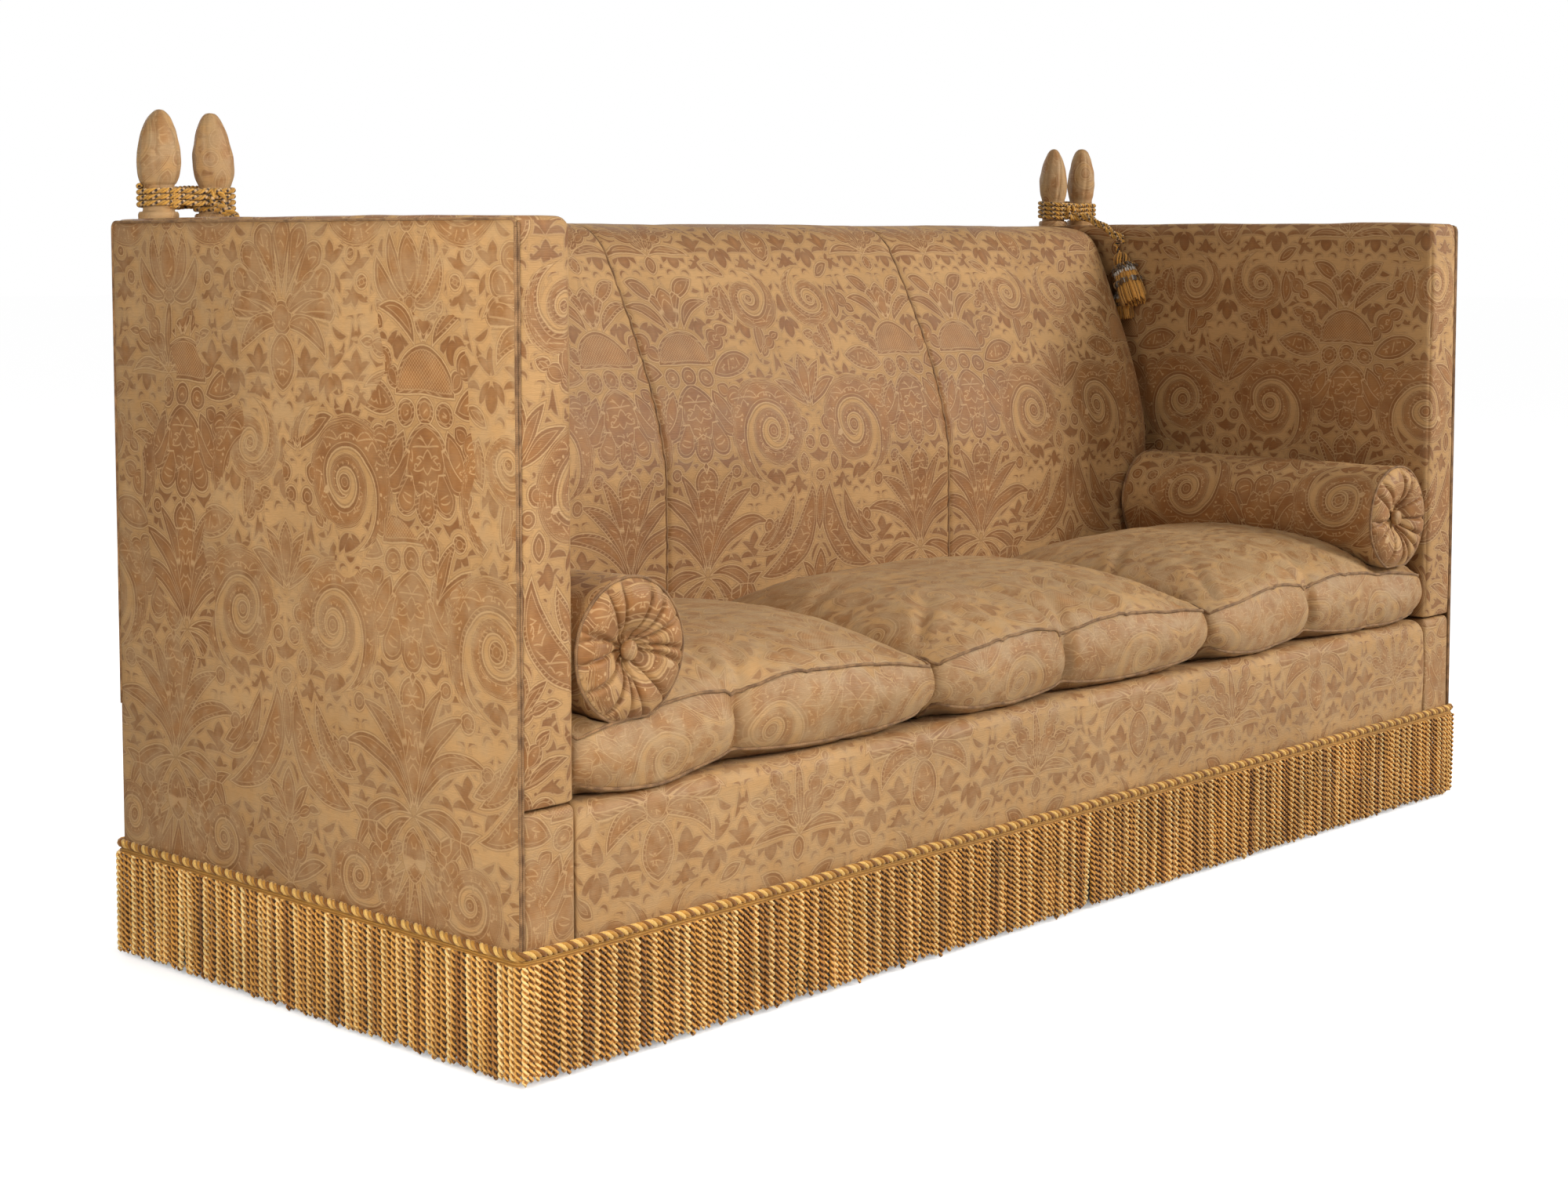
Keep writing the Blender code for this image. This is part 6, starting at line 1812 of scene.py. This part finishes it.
def build_fringe():
    """Bullion fringe: two-strand cords side by side to just above the floor, about every third one paler."""
    random = np.random.default_rng(5)
    reach_x = half_length + fringe_gap + fringe_radius
    reach_y = half_depth + fringe_gap + fringe_radius
    walls = {
        "front": ((-reach_x, -reach_y), (1, 0), (0, -1), 2 * reach_x),
        "back": ((reach_x, reach_y), (-1, 0), (0, 1), 2 * reach_x),
        "right": ((reach_x, -reach_y), (0, 1), (1, 0), 2 * reach_y),
        "left": ((-reach_x, reach_y), (0, -1), (-1, 0), 2 * reach_y),
    }
    down = np.concatenate([[0.0], np.linspace(0, 1, fringe_rows)])
    full = np.concatenate([[0.0], np.ones(fringe_rows - 3), [0.88, 0.58, 0.0]])
    turns = ring_angles(6)
    for wall, (start, along, out, length) in walls.items():
        covered = length - 2 * fringe_slit
        count = int(covered / fringe_pitch)
        places = fringe_slit + covered * (np.arange(count) + 0.5) / count
        works = []
        until_pale = 1
        for k in range(count):
            if k % fringe_cords_in_piece == 0:
                works.append(Workpiece())
            until_pale -= 1
            shade = 0.42 + 0.09 * random.standard_normal()
            if until_pale < 1:
                until_pale = random.choice((2, 3, 3, 4))
                shade = 0.88 + 0.06 * random.standard_normal()
            stray = random.random() < 0.06
            long = fringe_top - 0.0065 + 0.0024 * random.standard_normal() * (1.8 if stray else 0.7)
            long = min(long, fringe_top - 0.0012)
            lean = 0.004 * noise.noise((k * 0.11, 3.0, 0.0)) + 0.0012 * random.standard_normal() * (3 if stray else 1)
            kick = 0.0024 * noise.noise((k * 0.23, 9.0, 0.0)) + 0.0008 * random.standard_normal()
            bow = down ** 1.6
            distance = places[k] + lean * bow + 0.0005 * np.sin(5 * down + k)
            offset = np.maximum(kick * bow + 0.0006 * (-1) ** k * down, -0.0022)
            lay = 2 * np.pi * long * down / (fringe_lay + 0.0008 * random.standard_normal()) + random.random() * 6.3
            centre = np.stack([start[0] + along[0] * distance + out[0] * offset,
                               start[1] + along[1] * distance + out[1] * offset, fringe_top - long * down], axis=-1)
            for strand in (0, math.pi):
                radial = np.stack([np.cos(lay + strand), np.sin(lay + strand), 0 * lay], axis=-1)[:, None]
                ahead = np.stack([-radial[..., 1], radial[..., 0], radial[..., 2]], axis=-1)
                ring = (strand_out + strand_deep * np.cos(turns))[None, :, None] * radial
                ring = ring + (strand_wide * np.sin(turns))[None, :, None] * ahead
                # Each strand's inner side, in the groove between the two strands, is darker: painted shade
                painted_groove_shade = np.clip(shade - 0.4 * (np.cos(turns) < 0), 0, 1)
                works[-1].grid(centre[:, None] + ring * full[:, None, None], None, painted_groove_shade, around=True)
        for number, work in enumerate(works):
            piece = work.make(f"{wall}_fringe_cords_{number + 1}", fringe_thread)
            settle(piece, "base", "gold_cord", *([wall + "_fringe"] if number == 0 else []))


# The seat under the cushions

def build_platform():
    """The stuffed seat under the cushions, in its lining, quilted down in rows."""
    low, high = (np.array(corner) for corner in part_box("seat_platform"))

    def laid(axis, end, grid):
        return np.stack([grid[..., 0], grid[..., 1]], axis=-1)

    work = padded_block(low + 0.0004, high - (0.0004, 0.0004, 0.0012), (0.008,) * 3, (0.008,) * 3, 0.014, 0.0008,
                        laid, 71.0)
    for points in work.points:
        row = np.cos(points[:, 0] * 2 * np.pi / 0.19) * np.cos(points[:, 1] * 2 * np.pi / 0.15)
        top = points[:, 2] > high[2] - 0.006
        points[:, 2] -= np.where(top, 0.0035 * np.clip(row, 0, 1) ** 6, 0)
    settle(work.make("platform_lining", lining), "base", "hessian", "seat_platform", fill=0.9)


def build_dust_cloth():
    """Black cloth tacked under the rails, sagging a little between them."""
    low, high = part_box("dust_cover")
    grid = np.full((90, 40, 3), high[2])
    grid[..., 0] = np.linspace(low[0], high[0], 90)[:, None]
    grid[..., 1] = np.linspace(low[1], high[1], 40)[None, :]
    share_x, share_y = (np.abs(2 * (grid[..., i] - low[i]) / (high[i] - low[i]) - 1) for i in (0, 1))
    slack = (1 - share_x ** 6) * (1 - share_y ** 4)
    grid[..., 2] += slack * (0.0008 * wander(grid, 0.09, 81.0) - 0.006) - 0.0002
    work = Workpiece()
    work.sheet(grid, grid - (0, 0, 0.0009), grid[..., :2])
    piece = settle(work.make("dust_cloth", dust_cloth), "base", "black_cloth", "dust_cover")


for side in (-1, 1):
    build_rope(side)
build_front_rail()
build_inside_back()
build_outside_back()
for side in (-1, 1):
    build_arm_padding(side)
    build_base_block(side)
    build_side_cloth(side)
    build_side_welts(side)
    build_bolster(side)
build_finial(-1, "arm", 1.05, -0.004)
build_finial(-1, "back", 0.98, 0.005)
build_finial(1, "arm", 0.93, 0.001)
build_finial(1, "back", 0.93, 0.002)

cushion_pitch = cushion_width + 0.003
build_cushion("left", -cushion_pitch, -1, -0.759, [
    (-0.759, -0.44, 105, 0.2, 0.01, 0.008), (-0.759, -0.44, 60, 0.16, 0.008, 0.006),
    (-0.42, -0.43, 140, 0.17, 0.009, 0.007), (-0.86, -0.42, 95, 0.15, 0.008, 0.0045),
    (-0.4, -0.2, 165, 0.16, 0.009, 0.005), (-0.62, -0.44, 118, 0.14, 0.007, 0.0045),
])
build_cushion("middle", 0.0, 0, -0.024, [
    (-0.024, -0.44, 118, 0.26, 0.01, 0.011), (-0.024, -0.44, 72, 0.18, 0.008, 0.007),
    (-0.19, -0.44, 110, 0.22, 0.009, 0.007), (0.13, -0.43, 112, 0.24, 0.01, 0.009),
    (0.29, -0.425, 128, 0.28, 0.01, 0.011), (0.33, -0.3, 150, 0.24, 0.009, 0.008),
    (-0.32, -0.38, 40, 0.2, 0.009, 0.007), (-0.33, -0.15, 15, 0.18, 0.009, 0.005),
])
build_cushion("right", cushion_pitch, 1, 0.681, [
    (0.681, -0.44, 120, 0.24, 0.01, 0.009), (0.681, -0.44, 75, 0.16, 0.008, 0.006),
    (0.4, -0.42, 60, 0.2, 0.009, 0.007), (0.56, -0.44, 105, 0.2, 0.008, 0.006),
    (0.8, -0.43, 110, 0.2, 0.009, 0.006), (0.385, -0.22, 30, 0.2, 0.009, 0.0055),
])
build_heading()
build_fringe()
build_platform()
build_dust_cloth()


# Floor, light and camera

def build_stage():
    """A plain pale floor that keeps the sofa's shadow, soft studio light and the photograph's camera."""
    scene = bpy.context.scene
    scene.view_settings.view_transform = "Standard"
    mesh = bpy.data.meshes.new("floor")
    reach = 40.0
    corners = [(x * reach, y * reach, 0) for x, y in ((-1, -1), (1, -1), (1, 1), (-1, 1))]
    mesh.from_pydata(corners, [], [(0, 1, 2, 3)])
    floor = bpy.data.objects.new("floor", mesh)
    scene.collection.objects.link(floor)
    paint = bpy.data.materials.new("floor_paint")
    paint.use_nodes = True
    tree = paint.node_tree
    tree.nodes.clear()
    out = tree.nodes.new("ShaderNodeOutputMaterial")
    matt = tree.nodes.new("ShaderNodeBsdfDiffuse")
    matt.inputs["Color"].default_value = (0.75, 0.75, 0.75, 1.0)
    glow = tree.nodes.new("ShaderNodeEmission")
    rays = tree.nodes.new("ShaderNodeLightPath")
    # The camera sees the floor white, but for a soft shadow round the sofa and the dark under it
    x, y, _ = split_vector(tree, object_place(tree))
    out_x, out_y = abs(x) - half_length, abs(y) - half_depth
    far_x, far_y = calc(tree, "MAXIMUM", out_x, 0.0), calc(tree, "MAXIMUM", out_y, 0.0)
    away = calc(tree, "SQRT", calc(tree, "MULTIPLY_ADD", far_x, far_x, far_y * far_y))
    beside = ramp_up(away, 0.0, 0.17) * 0.34 + 0.66
    clear = ramp_up(most(out_x, out_y), -0.035, 0.005)
    strength = Reading(tree, rays.outputs["Is Camera Ray"]) * (beside * clear * 0.88)
    tree.links.new(strength.socket, glow.inputs["Strength"])
    both = tree.nodes.new("ShaderNodeAddShader")
    tree.links.new(matt.outputs[0], both.inputs[0])
    tree.links.new(glow.outputs[0], both.inputs[1])
    tree.links.new(both.outputs[0], out.inputs[0])
    mesh.materials.append(paint)

    world = bpy.data.worlds.new("studio")
    scene.world = world
    world.use_nodes = True
    # White where the camera sees it, and weaker as a light
    tree = world.node_tree
    back = tree.nodes["Background"]
    back.inputs["Color"].default_value = (1.0, 1.0, 1.0, 1.0)
    rays = tree.nodes.new("ShaderNodeLightPath")
    seen = most(Reading(tree, rays.outputs["Is Camera Ray"]), Reading(tree, rays.outputs["Is Glossy Ray"]) * 0.6)
    strength = calc(tree, "MAXIMUM", seen, 0.15)
    tree.links.new(strength.socket, back.inputs["Strength"])

    for name, place, target, size, energy, spread, colour in (
        ("main_light", (3.7, -4.0, 2.7), (0.0, 0.0, 0.6), 1.6, 236.0, 180, (1.0, 0.97, 0.92)),
        ("left_light", (-1.9, -2.5, 1.5), (-1.05, -0.44, 0.55), 0.8, 3.0, 60, (1.0, 0.97, 0.92)),
        ("side_light", (-2.45, -0.78, 1.25), (-1.1, -0.15, 0.7), 0.8, 23.0, 180, (1.0, 0.96, 0.9)),
        ("top_light", (0.2, -1.6, 3.0), (-0.1, 0.0, 0.6), 1.4, 23.0, 180, (1.0, 0.98, 0.95)),
        ("back_light", (0.8, 4.8, 2.6), (0.0, 0.4, 0.5), 2.2, 55.0, 180, (1.0, 0.98, 0.95)),
    ):
        data = bpy.data.lights.new(name, "AREA")
        data.shape = "SQUARE"
        data.size = size
        data.energy = energy
        data.spread = math.radians(spread)
        data.color = colour
        lamp = bpy.data.objects.new(name, data)
        lamp.location = place
        lamp.rotation_euler = (Vector(target) - Vector(place)).to_track_quat("-Z", "Y").to_euler()
        scene.collection.objects.link(lamp)

    # The photograph's camera, solved from the sofa's own straight edges
    data = bpy.data.cameras.new("camera")
    data.sensor_width = 36.0
    data.lens = 58.61
    data.shift_y = -0.1072
    data.clip_end = 200.0
    camera = bpy.data.objects.new("camera", data)
    camera.location = (-3.1918, -2.7834, 1.0481)
    bearing, drop = math.radians(43.04), math.radians(4.35)
    look = Vector((math.cos(bearing) * math.cos(drop), math.sin(bearing) * math.cos(drop), -math.sin(drop)))
    camera.rotation_euler = look.to_track_quat("-Z", "Y").to_euler()
    scene.collection.objects.link(camera)
    scene.camera = camera


build_stage()
